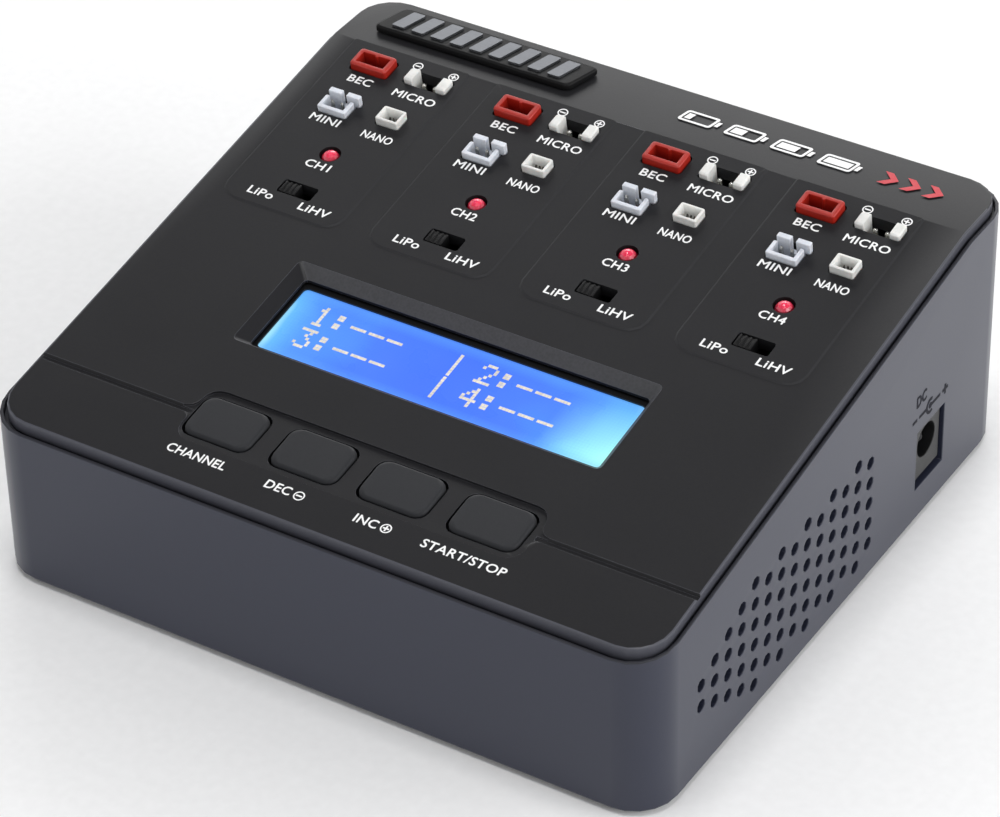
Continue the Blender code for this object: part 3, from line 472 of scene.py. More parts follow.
def display_face():
    """Backlit blue panel: cyan where the side lamps sit, deeper blue in the middle, faint cell grid."""
    made = Shader("display_face")
    turn = Matrix.Rotation(-TILT, 4, "X")
    shift = -(turn @ (Vector(PANEL_ORIGIN) * MM))
    plane = made.mapped(rotation=(-TILT, 0.0, 0.0), location=tuple(shift))
    split = made.node("ShaderNodeSeparateXYZ")
    made.link(plane, split.inputs["Vector"])
    across = made.math("DIVIDE", split.outputs["X"], GLASS_HALF[0] * MM)
    up = made.math("DIVIDE", made.math("SUBTRACT", split.outputs["Y"], DISPLAY_AT[1] * MM),
                   GLASS_HALF[1] * MM)
    cloud = made.spread(made.noise(16.0, 1.0), -0.14, 0.14)
    side = made.math("ABSOLUTE", made.math("ADD", across, cloud))
    glow = made.ramp(side, (
        (0.0, srgb(72, 118, 250)),
        (0.5, srgb(76, 126, 250)),
        (0.76, srgb(84, 148, 250)),
        (0.92, srgb(104, 184, 250)),
        (1.0, srgb(176, 240, 252)),
    ))
    low_right = made.math("MULTIPLY", made.spread(across, 0.0, 1.0, 0.62, 1.0),
                          made.spread(up, 1.0, 0.0, -0.6, 0.9))
    glow = made.mix(low_right, glow, srgb(172, 255, 244))
    rim = made.spread(made.math("ABSOLUTE", up), 0.0, 0.4, 0.72, 1.0)
    glow = made.mix(rim, glow, srgb(104, 172, 254))
    grid = made.node("ShaderNodeTexBrick", offset=0.0)
    grid.inputs["Scale"].default_value = 1.0 / (0.6 * MM)
    grid.inputs["Brick Width"].default_value = 1.0
    grid.inputs["Row Height"].default_value = 1.0
    grid.inputs["Mortar Size"].default_value = 0.05
    made.link(plane, grid.inputs["Vector"])
    shown = made.mix(made.math("MULTIPLY", grid.outputs["Fac"], 0.10), glow, srgb(40, 70, 200))
    made.colour(made.mix(0.75, shown, (0.0, 0.0, 0.0)))
    made.link(shown, made.surface.inputs["Emission Color"])
    made.set(Emission_Strength=0.9, Specular_IOR_Level=0.2)
    made.roughness(made.spread(made.noise(5.0), 0.25, 0.33))
    return made.material


def display_ink():
    """Lit segments: warm white dots whose light is a little uneven."""
    made = Shader("display_dots")
    uneven = made.noise(0.9, 2.0)
    shown = made.mix(made.spread(uneven, 0.0, 1.0), srgb(214, 208, 196), srgb(246, 238, 222))
    made.colour(made.mix(0.6, shown, (0.0, 0.0, 0.0)))
    made.link(shown, made.surface.inputs["Emission Color"])
    made.set(Emission_Strength=0.62, Specular_IOR_Level=0.2)
    made.roughness(made.spread(uneven, 0.35, 0.45))
    return made.material


def milky_diffuser():
    """Light box behind the display."""
    made = Shader("light_box")
    cloud = made.noise(5.0, 2.0)
    made.colour(made.mix(made.spread(cloud, 0.0, 1.0), srgb(196, 208, 226), srgb(224, 232, 244)))
    made.roughness(made.spread(cloud, 0.4, 0.5))
    made.set(Subsurface_Weight=0.2, Subsurface_Scale=0.002)
    return made.material


def painted_steel():
    return moulded_plastic("bezel_black_paint", srgb(10, 10, 11), 0.32, grain_mm=0.5, grain_depth=0.01,
                           edge_mm=0.08).material


def ink(name, colour, shine=0.5):
    """Screen-printed ink: nearly opaque, with pinholes and a slightly uneven film."""
    made = Shader(name)
    film = made.noise(0.35, 4.0, 0.7)
    made.colour(made.mix(made.spread(film, 0.0, 0.35, 0.55, 0.75), colour, shade(colour, 0.7)))
    made.roughness(made.spread(film, 0.42, 0.58))
    made.relief(film, 0.004, 0.4)
    made.set(Specular_IOR_Level=shine)
    return made.material


def flat_cable():
    """Grey ribbon with a band for each wire."""
    made = Shader("flat_cable")
    bands = made.node("ShaderNodeTexWave", bands_direction="X")
    bands.inputs["Scale"].default_value = 250.0
    made.link(made.coordinates(), bands.inputs["Vector"])
    made.colour(made.mix(bands.outputs["Fac"], srgb(104, 106, 110), srgb(150, 152, 156)))
    made.roughness(made.spread(made.noise(2.0), 0.4, 0.5))
    made.relief(bands.outputs["Fac"], 0.1, 0.6)
    return made.material


def floor_paper():
    """Pale paper with a faint fibre."""
    made = Shader("studio_floor")
    fibre = made.noise(2.0, 4.0)
    made.colour(made.mix(made.spread(fibre, 0.0, 1.0), (0.90, 0.90, 0.90), (0.93, 0.93, 0.93)))
    made.roughness(0.85)
    made.relief(fibre, 0.02, 0.2)
    return made.material


# ---------------------------------------------------------------- meshes

def add_mesh(name, bm, material, smooth=False):
    """New piece of the housing made from a bmesh."""
    mesh = bpy.data.meshes.new(name)
    bmesh.ops.recalc_face_normals(bm, faces=bm.faces)
    bm.to_mesh(mesh)
    bm.free()
    mesh.materials.append(material)
    if smooth:
        mesh.shade_smooth()
    made = bpy.data.objects.new(name, mesh)
    bpy.context.scene.collection.objects.link(made)
    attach(made, ROOT)
    return made


def baked(item):
    """Mesh of an object with its modifiers or curve fill applied."""
    bpy.context.view_layer.update()
    graph = bpy.context.evaluated_depsgraph_get()
    return bpy.data.meshes.new_from_object(item.evaluated_get(graph))


def welded(node):
    """bmesh of a CAD node with shared corners and, where that keeps its surface, no flat seams."""
    bm = bmesh.new()
    bm.from_mesh(node.data)
    bmesh.ops.remove_doubles(bm, verts=bm.verts, dist=1e-7)
    plain = bm.copy()
    area = sum(face.calc_area() for face in bm.faces)
    bmesh.ops.dissolve_limit(bm, angle_limit=math.radians(1.5), verts=bm.verts, edges=bm.edges)
    bmesh.ops.triangulate(bm, faces=[face for face in bm.faces if len(face.verts) > 4])
    kept = abs(sum(face.calc_area() for face in bm.faces) - area) < 1e-3 * area
    (plain if kept else bm).free()
    return bm if kept else plain


def rounded_copy(node, name, material, width_mm, body=ROOT, edge_material=None):
    """A CAD node again with its sharp edges rounded; it stands for the node."""
    bm = welded(node)
    mesh = bpy.data.meshes.new(name)
    bm.to_mesh(mesh)
    bm.free()
    mesh.materials.append(material)
    draft = bpy.data.objects.new(name + "_draft", mesh)
    bpy.context.scene.collection.objects.link(draft)
    bevel = draft.modifiers.new("edges", "BEVEL")
    bevel.width = width_mm * MM
    bevel.segments = 2
    bevel.limit_method = "ANGLE"
    bevel.angle_limit = math.radians(ROUNDED)
    bevel.use_clamp_overlap = True
    # the rounding's own faces take edge_material; on the cover that is a painted highlight
    if edge_material:
        mesh.materials.append(edge_material)
        bevel.material = EDGE_HIGHLIGHT
    draft.data = baked(draft)
    draft.modifiers.clear()
    draft.data.shade_smooth()
    draft.data.set_sharp_from_angle(angle=math.radians(SHARP))
    weight = draft.modifiers.new("shading", "WEIGHTED_NORMAL")
    weight.keep_sharp = True
    result = baked(draft)
    bpy.data.objects.remove(draft)
    made = bpy.data.objects.new(name, result)
    bpy.context.scene.collection.objects.link(made)
    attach(made, body)
    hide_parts(node.name)
    return made


def flat_shape(contours, matrix, thickness_mm=INK):
    """bmesh of filled outlines (even-odd) as a thin plate on matrix's XY plane; outlines are in mm."""
    curve = bpy.data.curves.new("outline", "CURVE")
    curve.dimensions = "2D"
    curve.fill_mode = "BOTH"
    curve.extrude = thickness_mm * MM / 2
    for contour in contours:
        spline = curve.splines.new("POLY")
        spline.points.add(len(contour) - 1)
        for point, (x, y) in zip(spline.points, contour):
            point.co = (x * MM, y * MM, 0.0, 1.0)
        spline.use_cyclic_u = True
    draft = bpy.data.objects.new("outline", curve)
    bpy.context.scene.collection.objects.link(draft)
    mesh = baked(draft)
    bpy.data.objects.remove(draft)
    bm = bmesh.new()
    bm.from_mesh(mesh)
    lift = Matrix.Translation((0, 0, thickness_mm * MM / 2))
    bmesh.ops.transform(bm, matrix=matrix @ lift, verts=bm.verts)
    return bm


def lettering(text, width_mm, matrix, height_mm=LABEL, bold_mm=BOLD):
    """bmesh of sans-serif characters standing for print, with a capital height and a total width.

    Four slightly shifted copies make the strokes bolder."""
    curve = bpy.data.curves.new("label", "FONT")
    curve.body = text
    curve.align_x = "CENTER"
    curve.size = height_mm * MM / CAPITAL
    curve.space_character = 1.05
    curve.resolution_u = 3
    curve.extrude = INK * MM / 2
    draft = bpy.data.objects.new("label", curve)
    bpy.context.scene.collection.objects.link(draft)
    mesh = baked(draft)
    bpy.data.objects.remove(draft)
    xs = [vert.co.x for vert in mesh.vertices]
    ys = [vert.co.y for vert in mesh.vertices]
    middle = Vector(((max(xs) + min(xs)) / 2, (max(ys) + min(ys)) / 2, 0.0))
    fit = Matrix.Diagonal((width_mm * MM / (max(xs) - min(xs)), 1.0, 1.0, 1.0))
    bm = bmesh.new()
    for step, (x, y) in enumerate(((-bold_mm, 0.0), (bold_mm, 0.0), (0.0, bold_mm), (0.0, -bold_mm))):
        copy = mesh.copy()
        lift = Vector((x * MM, y * MM, (INK / 2 + 0.001 * step) * MM))
        copy.transform(matrix @ Matrix.Translation(lift) @ fit @ Matrix.Translation(-middle))
        bm.from_mesh(copy)
        bpy.data.meshes.remove(copy)
    return bm


def merge(parts):
    """One bmesh of several."""
    whole = bmesh.new()
    for part in parts:
        mesh = bpy.data.meshes.new("part")
        part.to_mesh(mesh)
        part.free()
        whole.from_mesh(mesh)
        bpy.data.meshes.remove(mesh)
    return whole


def ring(radius, centre=(0.0, 0.0), steps=28):
    """Outline of a circle."""
    points = []
    for step in range(steps):
        angle = 2 * math.pi * step / steps
        points.append((centre[0] + radius * math.cos(angle), centre[1] + radius * math.sin(angle)))
    return points


def bar(width, height, centre=(0.0, 0.0), slant=0.0):
    """Outline of a rectangle or, with a slant, a parallelogram."""
    x, y = centre
    half_w, half_h = width / 2, height / 2
    return [
        (x - half_w - slant * half_h, y - half_h),
        (x + half_w - slant * half_h, y - half_h),
        (x + half_w + slant * half_h, y + half_h),
        (x - half_w + slant * half_h, y + half_h),
    ]


def plus_sign(size, stroke, centre=(0.0, 0.0)):
    """Outline of a plus."""
    x, y = centre
    a, b = size / 2, stroke / 2
    outline = (
        (-b, -a), (b, -a), (b, -b), (a, -b), (a, b), (b, b),
        (b, a), (-b, a), (-b, b), (-a, b), (-a, -b), (-b, -b),
    )
    return [(x + px, y + py) for px, py in outline]


def sign_in_ring(positive, radius, centre=(0.0, 0.0)):
    """A plus or a minus inside a circle."""
    stroke = radius * 0.24
    contours = [ring(radius, centre), ring(radius - stroke, centre)]
    if positive:
        contours.append(plus_sign(radius * 1.15, stroke * 1.25, centre))
    else:
        contours.append(bar(radius * 1.15, stroke * 1.25, centre))
    return contours


def rounded_bar(width, height, radius, centre=(0.0, 0.0), slant=0.0, steps=5):
    """Outline of a bar with round corners that may lean to the right."""
    points = []
    corners = ((1, 1, 0), (-1, 1, 90), (-1, -1, 180), (1, -1, 270))
    for side_x, side_y, start in corners:
        cx = side_x * (width / 2 - radius)
        cy = side_y * (height / 2 - radius)
        for step in range(steps + 1):
            angle = math.radians(start + 90 * step / steps)
            x = cx + radius * math.cos(angle)
            y = cy + radius * math.sin(angle)
            points.append((centre[0] + x + slant * y, centre[1] + y))
    return points


def turned(profile, steps):
    """Solid of revolution about Z from (radius, height) points in mm; both ends are closed."""
    bm = bmesh.new()
    rings = []
    for radius, height in profile:
        loop = []
        for step in range(steps):
            angle = 2 * math.pi * step / steps
            co = (radius * math.cos(angle) * MM, radius * math.sin(angle) * MM, height * MM)
            loop.append(bm.verts.new(co))
        rings.append(loop)
    for low, high in zip(rings, rings[1:]):
        for step in range(steps):
            after = (step + 1) % steps
            bm.faces.new((low[step], low[after], high[after], high[step]))
    bm.faces.new(list(reversed(rings[0])))
    bm.faces.new(rings[-1])
    return bm


def square_pin(width, low, high, tip):
    """Square contact pin with a tapered tip, about Z."""
    bm = bmesh.new()
    rows = []
    for half, height in ((width / 2, low), (width / 2, high - tip), (width / 2 * 0.45, high)):
        corners = ((half, half), (-half, half), (-half, -half), (half, -half))
        rows.append([bm.verts.new((x * MM, y * MM, height * MM)) for x, y in corners])
    for below, above in zip(rows, rows[1:]):
        for step in range(4):
            after = (step + 1) % 4
            bm.faces.new((below[step], below[after], above[after], above[step]))
    bm.faces.new(list(reversed(rows[0])))
    bm.faces.new(rows[-1])
    return bm


def moved(bm, matrix):
    """The same bmesh after it has been moved."""
    bmesh.ops.transform(bm, matrix=matrix, verts=bm.verts)
    return bm


# ---------------------------------------------------------------- display characters

# seven rows of five dots; the bar has an eighth row that meets the line of text below it
GLYPHS = {
    "1": ("..#..", ".##..", "..#..", "..#..", "..#..", "..#..", ".###."),
    "2": (".###.", "#...#", "....#", "...#.", "..#..", ".#...", "#####"),
    "3": ("#####", "...#.", "..#..", "...#.", "....#", "#...#", ".###."),
    "4": ("...#.", "..##.", ".#.#.", "#..#.", "#####", "...#.", "...#."),
    ":": (".....", ".##..", ".##..", ".....", ".##..", ".##..", "....."),
    "-": (".....", ".....", ".....", "#####", ".....", ".....", "....."),
    "|": ("....#",) * 8,
    " ": (".....",) * 7,
}
DOT = (0.56, 0.60)
DOT_STEP = (0.60, 0.66)
DOT_LIFT = 0.01
DOT_THICKNESS = 0.02
GLYPH_TOP = 2.3
CHARACTER_PITCH = 3.58
ROW_PITCH = 5.57
DISPLAY_ROWS = ("1:---  | 2:---", "3:---  | 4:---")
DISPLAY_START = (-28.12, 45.45)


def display_dots():
    """Every lit dot of the two text rows as one thin plate each."""
    bm = bmesh.new()
    for row, text in enumerate(DISPLAY_ROWS):
        for column, character in enumerate(text):
            left = DISPLAY_START[0] + CHARACTER_PITCH * column
            top = DISPLAY_START[1] - ROW_PITCH * row + GLYPH_TOP
            for line, pattern in enumerate(GLYPHS[character]):
                for dot, mark in enumerate(pattern):
                    if mark == "#":
                        u = left + DOT_STEP[0] * dot
                        v = top - DOT_STEP[1] * line
                        add_dot(bm, u, v)
    return bm


def add_dot(bm, u, v):
    """Add one small plate just above the glass; (u, v) is its lower left corner."""
    base = GLASS_TOP + DOT_LIFT
    levels = []
    for h in (base, base + DOT_THICKNESS):
        row = []
        for x, y in ((0, 0), (DOT[0], 0), DOT, (0, DOT[1])):
            row.append(bm.verts.new(PANEL @ (Vector((u + x, v + y, h)) * MM)))
        levels.append(row)
    low, high = levels
    bm.faces.new(list(reversed(low)))
    bm.faces.new(high)
    for step in range(4):
        after = (step + 1) % 4
        bm.faces.new((low[step], low[after], high[after], high[step]))


# ---------------------------------------------------------------- the object

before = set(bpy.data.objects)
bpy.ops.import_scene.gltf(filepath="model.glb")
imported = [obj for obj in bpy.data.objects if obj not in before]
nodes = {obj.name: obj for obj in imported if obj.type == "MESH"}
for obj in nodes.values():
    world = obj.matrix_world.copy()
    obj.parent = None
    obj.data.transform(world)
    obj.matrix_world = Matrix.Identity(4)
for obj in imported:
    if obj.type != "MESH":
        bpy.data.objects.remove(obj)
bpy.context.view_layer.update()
STRIP_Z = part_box("top_cover")[1].z / MM
BADGE_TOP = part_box("badge_plate")[1].z / MM

CASE = case_plastic()
COVER = cover_plastic()
LEDGE_SHADE = ledge_shade_plastic()
KEY = key_rubber()
BLACK = black_plastic()
DULL_BLACK = dull_black_plastic()
RED = nylon("red_nylon", srgb(170, 33, 19), 0.42, 0.05)
ICE = nylon("ice_nylon", srgb(216, 220, 228), 0.38, 0.2)
WHITE = nylon("white_nylon", srgb(228, 228, 225), 0.38, 0.25)
NICKEL = metal("nickel_pin", srgb(196, 196, 190), 0.25, (1.0, 1.0, 0.2))
STEEL = metal("zinc_steel", srgb(150, 152, 156), 0.34)
PIN_METAL = metal("dull_pin", srgb(112, 110, 106), 0.35, (1.0, 1.0, 0.2))
BRUSHED = metal("brushed_inlay", srgb(112, 114, 118), 0.45, (0.06, 1.0, 1.0), 0.16)
WHITE_INK = ink("white_ink", srgb(240, 240, 240))
RED_INK = ink("red_ink", srgb(196, 38, 52))
# steel darkened to the shade inside the inlet: painted shade
SHADED_INLET_STEEL = metal("shaded_inlet_steel", srgb(58, 58, 60), 0.45, (1.0, 1.0, 0.2))
DARK_INK = ink("dark_ink", srgb(16, 17, 28), 0.08)


def dress(name, material):
    """Give a CAD node its material."""
    node = nodes[name]
    node.data.materials.clear()
    node.data.materials.append(material)


def dress_lower_case():
    """Satin case; its upper ledge and the groove inside it get a darker, coarser copy of the plastic:
    painted shade in the gap under the cover.
    """
    shell = rounded_copy(nodes["lower_case"], "case_shell", CASE, CASE_EDGE)
    shell.data.materials.append(LEDGE_SHADE)
    for face in shell.data.polygons:
        x, y, z = face.center
        upward = face.normal.z > 0.7 and z > LEDGE_TOP_FROM
        inner = abs(x) < LEDGE_INSIDE[0] and abs(y) < LEDGE_INSIDE[1] and z > LEDGE_INSIDE_FROM
        # ledge and groove faces take the painted shade
        if upward or inner:
            face.material_index = 1


def cover_slot(face, place, out):
    """Material slot of one of the cover's faces, from its place on the panel and how far it faces out."""
    x, y, _ = face.center
    at_window = abs(place.x) < WINDOW_REACH[0] and abs(place.y - DISPLAY_AT[1]) < WINDOW_REACH[1]
    on_pad = place.y > PADS_FROM and place.z > PADS_LOW and abs(place.x) < PADS_REACH
    at_rim = abs(x) > RIM_X or abs(y - RIM_MIDDLE_Y) > RIM_Y
    forward = face.normal.y < -WALL_FACING and y < WALL_FRONT_Y
    to_right = face.normal.x > WALL_FACING and x > WALL_RIGHT_X
    plain = face.material_index == COVER_FACE
    # window slopes get the coarser grain and a paler tone, painted highlight; the slope that faces right
    # stays the cover's plastic
    if at_window and place.z > WINDOW_FROM and WINDOW_OUT[0] < out < WINDOW_OUT[1] and plain:
        return LIT_WINDOW_SLOPE if face.normal.x < WINDOW_RIGHTWARD else COVER_FACE
    # sloping pad edges: painted highlight
    if on_pad and PAD_OUT[0] < out < PAD_OUT[1]:
        return PAD_EDGE_HIGHLIGHT
    # rounded rim edges at the front and sides: painted highlight
    if at_rim and RIM_OUT[0] < out < RIM_OUT[1] and y < RIM_BACK_Y:
        return RIM_HIGHLIGHT
    # walls that face the front or the right get a lighter grey: painted reflection
    if at_rim and out <= RIM_OUT[0]:
        return WALL_REFLECTION if (forward or to_right) and out > WALL_OUT else COVER_FACE
    return face.material_index


def dress_cover():
    """Charcoal cover whose edges and pad edges carry painted highlights, whose window slopes are coarser
    and painted paler, and whose front and right walls carry a painted reflection.
    """
    cover = rounded_copy(nodes["top_cover"], "panel_cover", COVER, COVER_EDGE,
                         edge_material=highlight_plastic("edge_highlight_abs", 92))
    for material in (bevel_plastic(), highlight_plastic("rim_highlight_abs", 70), highlight_plastic("wall_reflection_abs", 74),
                     pad_edge_highlight_plastic()):
        cover.data.materials.append(material)
    to_panel = PANEL.inverted()
    outward = PANEL.col[2].to_3d()
    for face in cover.data.polygons:
        face.material_index = cover_slot(face, to_panel @ face.center / MM, face.normal.dot(outward))


def dress_cad():
    dress_lower_case()
    dress_cover()
    dress("lcd_frame", painted_steel())
    dress("lcd_glass", display_face())
    dress("lcd_backlight", milky_diffuser())
    board = circuit_board()
    for name in ("lcd_board", "channel_board", "key_board", "main_board"):
        dress(name, board)
    dress("microcontroller", BLACK)
    dress("buzzer", BLACK)
    dress("capacitor", STEEL)
    cable = flat_cable()
    dress("ribbon_channels", cable)
    dress("ribbon_keys", cable)
    feet = foot_rubber()
    lens = lamp_lens()
    for index in range(1, CHANNELS + 1):
        dress(f"key_switch_{index}", BLACK)
        dress(f"slide_body_{index}", BLACK)
        dress(f"case_screw_{index}", STEEL)
        dress(f"foot_{index}", feet)
        dress(f"led_{index}", lens)
        nodes[f"led_{index}"].data.shade_smooth()


def round_small_parts():
    """Rounded copies of the keys, knobs, outlets, name plate and inlet."""
    for index in range(1, CHANNELS + 1):
        moving = (
            (f"key_cap_{index}", f"key_{index}_cap", KEY, KEY_EDGE, "key", f"key_{index}"),
            (f"slide_knob_{index}", f"knob_{index}", DULL_BLACK, KNOB_EDGE, "knob", f"selector_{index}"),
        )
        for node, name, material, width, slot, body in moving:
            rounded_copy(nodes[node], name, material, width, body)
        outlets = (
            ("red", RED, RED_EDGE, "red_plastic"),
            ("pin", ICE, TRAY_EDGE, "ice_plastic"),
            ("square", WHITE, TRAY_EDGE, "white_plastic"),
            ("lug", WHITE, LUG_EDGE, "white_plastic"),
        )
        for kind, material, width, slot in outlets:
            rounded_copy(nodes[f"{kind}_socket_{index}"], f"{kind}_outlet_{index}", material, width)
    rounded_copy(nodes["badge_plate"], "badge_base", DULL_BLACK, BADGE_EDGE)
    rounded_copy(nodes["dc_jack"], "inlet_body", BLACK, INLET_EDGE)


def beside(maker, place, offsets, up=0.0):
    """One bmesh of the same pin at several offsets across from a place on the panel."""
    return merge([moved(maker(), place @ Matrix.Translation((x * MM, up * MM, 0))) for x in offsets])


def red_pin():
    return square_pin(0.64, WELL_FLOOR, -0.6, 0.5)


def tray_pin():
    return square_pin(0.5, WELL_FLOOR, 1.35, 0.35)


def small_pin():
    return square_pin(0.3, SQUARE_WELL_FLOOR, 0.5, 0.2)


def round_pin():
    return turned(((0.5, WELL_FLOOR), (0.5, -1.15), (0.42, -0.85), (0.2, -0.7)), 14)


def add_pins():
    """Contact pins standing in the wells of every outlet."""
    for channel in range(CHANNELS):
        u = channel_u(channel)
        red, tray, small, lug = (on_panel(u + x, y) for x, y in (RED_AT, PIN_AT, SQUARE_AT, LUG_AT))
        index = channel + 1
        add_mesh(f"red_pins_{index}", beside(red_pin, red, RED_PINS_X, RED_PINS_Y), NICKEL)
        add_mesh(f"pin_pins_{index}", beside(tray_pin, tray, TRAY_PINS_X), NICKEL)
        pins = beside(small_pin, small, SMALL_PINS_X, SMALL_PINS_Y)
        add_mesh(f"square_pins_{index}", pins, PIN_METAL)
        pins = beside(round_pin, lug, LUG_PINS_X, LUG_PINS_Y)
        add_mesh(f"lug_pins_{index}", pins, NICKEL, smooth=True)


def outlet_labels(channel):
    """Print round one channel's outlets, lamp and selector."""
    def place(x, y):
        return on_panel(channel_u(channel) + x, y, PAD_RISE + INK_LIFT)

    words = [lettering(text, width, place(x, y)) for text, width, x, y in OUTLET_WORDS]
    width, x, y = CHANNEL_WORD
    return words + [
        lettering(f"CH{channel + 1}", width, place(x, y)),
        flat_shape(sign_in_ring(False, SIGN_RADIUS), place(*MINUS_AT)),
        flat_shape(sign_in_ring(True, SIGN_RADIUS), place(*PLUS_AT)),
    ]


def key_labels():
    """Print in front of the keys."""
    words = [lettering(text, width, on_panel(u, v, INK_LIFT)) for text, width, u, v in KEY_WORDS]
    return words + [
        flat_shape(sign_in_ring(False, KEY_SIGN_RADIUS), on_panel(KEY_MINUS_U, KEY_SIGN_V, INK_LIFT)),
        flat_shape(sign_in_ring(True, KEY_SIGN_RADIUS), on_panel(KEY_PLUS_U, KEY_SIGN_V, INK_LIFT)),
    ]


def cell_icon(level, slant=0.2):
    """A battery cell seen from the side, filled up to a level: shell, inside, filling and nub."""
    return [
        rounded_bar(6.4, 3.4, 0.6, slant=slant),
        rounded_bar(5.4, 2.4, 0.3, slant=slant),
        bar(4.8 * level, 1.7, (-2.4 * (1.0 - level), 0.0), slant),
        bar(0.7, 1.5, (3.75, 0.0), slant),
    ]


def chevron(size):
    """Outline of an arrow head that points to the right."""
    half, quarter, width = size / 2, size / 4, size * 0.42
    return [
        (-quarter, -half), (width - quarter, -half), (quarter + width, 0.0),
        (width - quarter, half), (-quarter, half), (quarter, 0.0),
    ]


def strip_place(x):
    """Matrix of a flat thing in the middle of the cover's level rear strip."""
    return Matrix.Translation(Vector((x, STRIP_Y, STRIP_Z + INK_LIFT)) * MM)


def add_prints():
    """All print on the cover."""
    for channel in range(CHANNELS):
        add_mesh(f"channel_print_{channel + 1}", merge(outlet_labels(channel)), WHITE_INK)
    add_mesh("key_print", merge(key_labels()), WHITE_INK)
    cells = [flat_shape(cell_icon(level), strip_place(CELL_START + CELL_PITCH * step))
             for step, level in enumerate(CELL_LEVELS)]
    add_mesh("strip_cells", merge(cells), WHITE_INK)
    arrows = [flat_shape([chevron(ARROW_SIZE)], strip_place(ARROW_START + ARROW_PITCH * step))
              for step in range(ARROW_COUNT)]
    add_mesh("strip_arrows", merge(arrows), RED_INK)


def side_place(y, z):
    """Matrix of a flat thing on the right side wall; its x runs to the back and its y up."""
    across = Vector((0.0, 1.0, 0.0))
    up = Vector((0.0, 0.0, 1.0))
    matrix = Matrix((across, up, across.cross(up))).transposed().to_4x4()
    matrix.translation = Vector((SIDE_X + INK_LIFT, y, z)) * MM
    return matrix


def arc(radius, degrees):
    """Points of an arc at the given angles."""
    return [(radius * math.cos(math.radians(a)), radius * math.sin(math.radians(a))) for a in degrees]


def add_inlet_print():
    """Polarity symbol above the power inlet: minus to the sleeve, plus to the pin."""
    y, z = JACK_AT[0], INLET_SYMBOL_Z
    angles = range(INLET_OPENING, 361 - INLET_OPENING, 15)
    sleeve = arc(INLET_RING[0], angles) + arc(INLET_RING[1], reversed(angles))
    stroke = INLET_STROKE
    parts = [
        lettering("DC", 3.4, side_place(y - 3.4, z + 3.6), 2.2, 0.12),
        flat_shape([sleeve], side_place(y, z)),
        flat_shape([ring(stroke)], side_place(y, z)),
        flat_shape([bar(2.4, stroke)], side_place(y - 2.8, z)),
        flat_shape([bar(3.0, stroke)], side_place(y + 2.1, z)),
        flat_shape([bar(1.6, stroke)], side_place(y - 5.6, z)),
        flat_shape([plus_sign(2.0, stroke)], side_place(y + 5.4, z)),
    ]
    add_mesh("inlet_print", merge(parts), DARK_INK)


def add_badge_bars():
    """Raised slanted bars of brushed metal on the blank name plate."""
    parts = []
    for step in range(BAR_COUNT):
        x = BADGE_AT[0] + BAR_PITCH * (step - (BAR_COUNT - 1) / 2)
        matrix = Matrix.Translation(Vector((x, BADGE_AT[1], BADGE_TOP)) * MM)
        outline = rounded_bar(*BAR_SIZE, BAR_CORNER, slant=BAR_SLANT)
        parts.append(flat_shape([outline], matrix, BAR_RISE))
    made = add_mesh("badge_bars", merge(parts), BRUSHED)
    bevel = made.modifiers.new("edges", "BEVEL")
    bevel.width = BAR_EDGE * MM
    bevel.segments = 2
    bevel.limit_method = "ANGLE"


def add_inlet_pin():
    """Centre pin of the power inlet, its steel painted dark: painted shade inside the inlet."""
    axis = Matrix.Rotation(math.radians(90.0), 4, "Y")
    spot = Matrix.Translation(Vector((INLET_PIN_X, *JACK_AT)) * MM)
    profile = ((0.98, 0.2), (0.98, 8.0), (0.8, 8.7), (0.35, 9.1))
    add_mesh("inlet_pin", moved(turned(profile, 24), spot @ axis), SHADED_INLET_STEEL, smooth=True)


dress_cad()
round_small_parts()
add_pins()
add_prints()
add_inlet_print()
add_badge_bars()
add_inlet_pin()
add_mesh("display_characters", display_dots(), display_ink())


# ---------------------------------------------------------------- studio

VIEW_AZIMUTH = 32.58374743765915
VIEW_ELEVATION = 36.62266626221435
VIEW_ROLL = -1.418033084584479
VIEW_TARGET = (-2.834291, -0.175430, 22.537309)
VIEW_DISTANCE = 726.4926
LENS = 155.67943
SENSOR = 36.0
SHIFT = (0.009155, -0.024308)
NEAREST = 0.01
LIGHT_TARGET = (0.0, 0.0, 0.025)
FLOOR_SIZE = 6.0
# name, azimuth and elevation in degrees, distance and size in metres, power in watts
SOFTBOXES = (
    ("backdrop_glow", 204.0, 28.0, 1.6, (1.3, 0.6), 8.4),
    ("side_key", 98.0, 24.0, 1.2, (0.9, 0.7), 7.6),
    ("top_fill", 0.0, 86.0, 1.6, (0.6, 0.6), 11.0),
)


def view_axes(azimuth, elevation, roll=0.0):
    """Right, up and back of something that looks at the object from a direction in degrees."""
    az, el, ro = (math.radians(value) for value in (azimuth, elevation, roll))
    back = Vector((math.sin(az) * math.cos(el), -math.cos(az) * math.cos(el), math.sin(el)))
    right = Vector((0.0, 0.0, 1.0)).cross(back).normalized()
    up = back.cross(right)
    turned_right = right * math.cos(ro) + up * math.sin(ro)
    turned_up = up * math.cos(ro) - right * math.sin(ro)
    return turned_right, turned_up, back


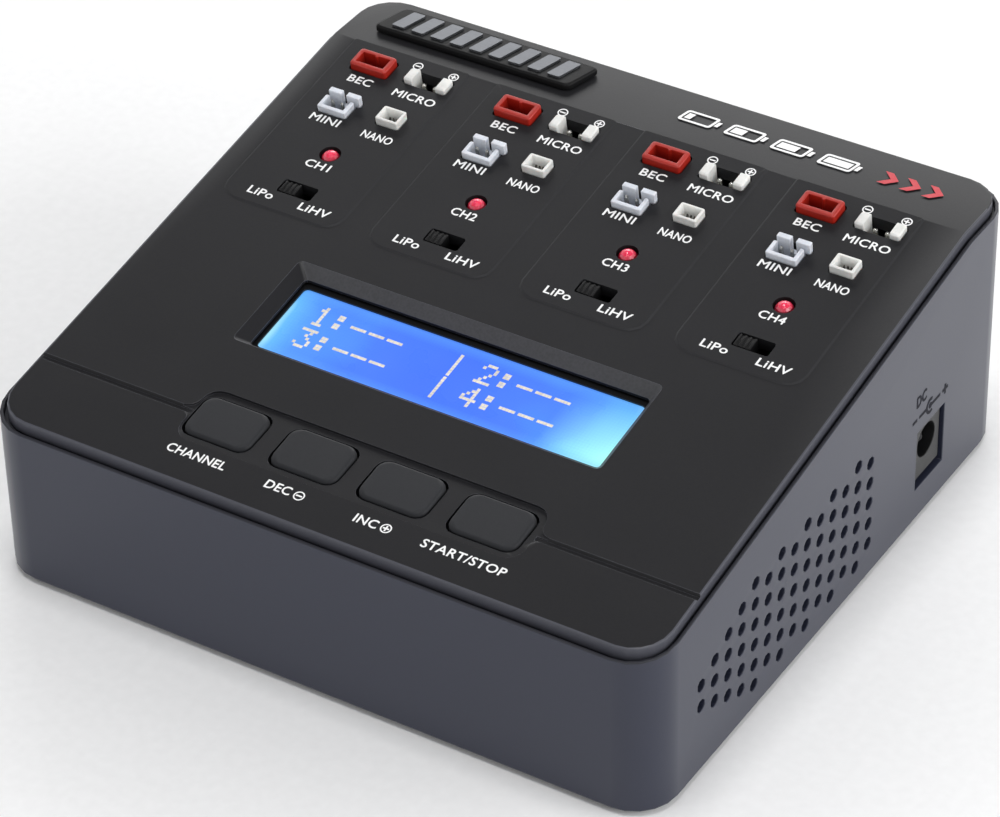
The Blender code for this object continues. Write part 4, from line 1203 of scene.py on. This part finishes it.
def add_camera():
    """Camera at the photograph's viewing angle."""
    data = bpy.data.cameras.new("view")
    camera = bpy.data.objects.new("view", data)
    bpy.context.scene.collection.objects.link(camera)
    right, up, back = view_axes(VIEW_AZIMUTH, VIEW_ELEVATION, VIEW_ROLL)
    matrix = Matrix((right, up, back)).transposed().to_4x4()
    matrix.translation = (Vector(VIEW_TARGET) + back * VIEW_DISTANCE) * MM
    camera.matrix_world = matrix
    data.sensor_width = SENSOR
    data.lens = LENS
    data.shift_x, data.shift_y = SHIFT
    data.clip_start = NEAREST
    bpy.context.scene.camera = camera


def add_softbox(name, azimuth, elevation, distance, size, power):
    """Rectangular light that faces the object from a direction."""
    data = bpy.data.lights.new(name, "AREA")
    data.shape = "RECTANGLE"
    data.size, data.size_y = size
    data.energy = power
    light = bpy.data.objects.new(name, data)
    bpy.context.scene.collection.objects.link(light)
    right, up, back = view_axes(azimuth, elevation)
    matrix = Matrix((right, up, back)).transposed().to_4x4()
    matrix.translation = Vector(LIGHT_TARGET) + back * distance
    light.matrix_world = matrix


def add_floor():
    """Plain paper floor at the level of the feet."""
    bm = bmesh.new()
    bmesh.ops.create_grid(bm, x_segments=8, y_segments=8, size=FLOOR_SIZE)
    mesh = bpy.data.meshes.new("floor")
    bm.to_mesh(mesh)
    bm.free()
    mesh.materials.append(floor_paper())
    floor = bpy.data.objects.new("floor", mesh)
    bpy.context.scene.collection.objects.link(floor)


def add_world():
    """Plain studio surroundings: bright near the horizon, dim overhead."""
    world = bpy.data.worlds.new("studio")
    bpy.context.scene.world = world
    world.use_nodes = True
    tree = world.node_tree
    background = tree.nodes["Background"]
    place = tree.nodes.new("ShaderNodeTexCoord")
    split = tree.nodes.new("ShaderNodeSeparateXYZ")
    ramp = tree.nodes.new("ShaderNodeValToRGB")
    tree.links.new(place.outputs["Generated"], split.inputs["Vector"])
    tree.links.new(split.outputs["Z"], ramp.inputs["Fac"])
    tree.links.new(ramp.outputs["Color"], background.inputs["Color"])
    steps = ramp.color_ramp.elements
    steps[0].position, steps[0].color = 0.50, (1.0, 1.0, 1.0, 1.0)
    steps[1].position, steps[1].color = 0.72, (0.08, 0.08, 0.09, 1.0)
    background.inputs["Strength"].default_value = 1.0


add_camera()
add_world()
add_floor()
for softbox in SOFTBOXES:
    add_softbox(*softbox)
bpy.context.scene.view_settings.view_transform = "Standard"
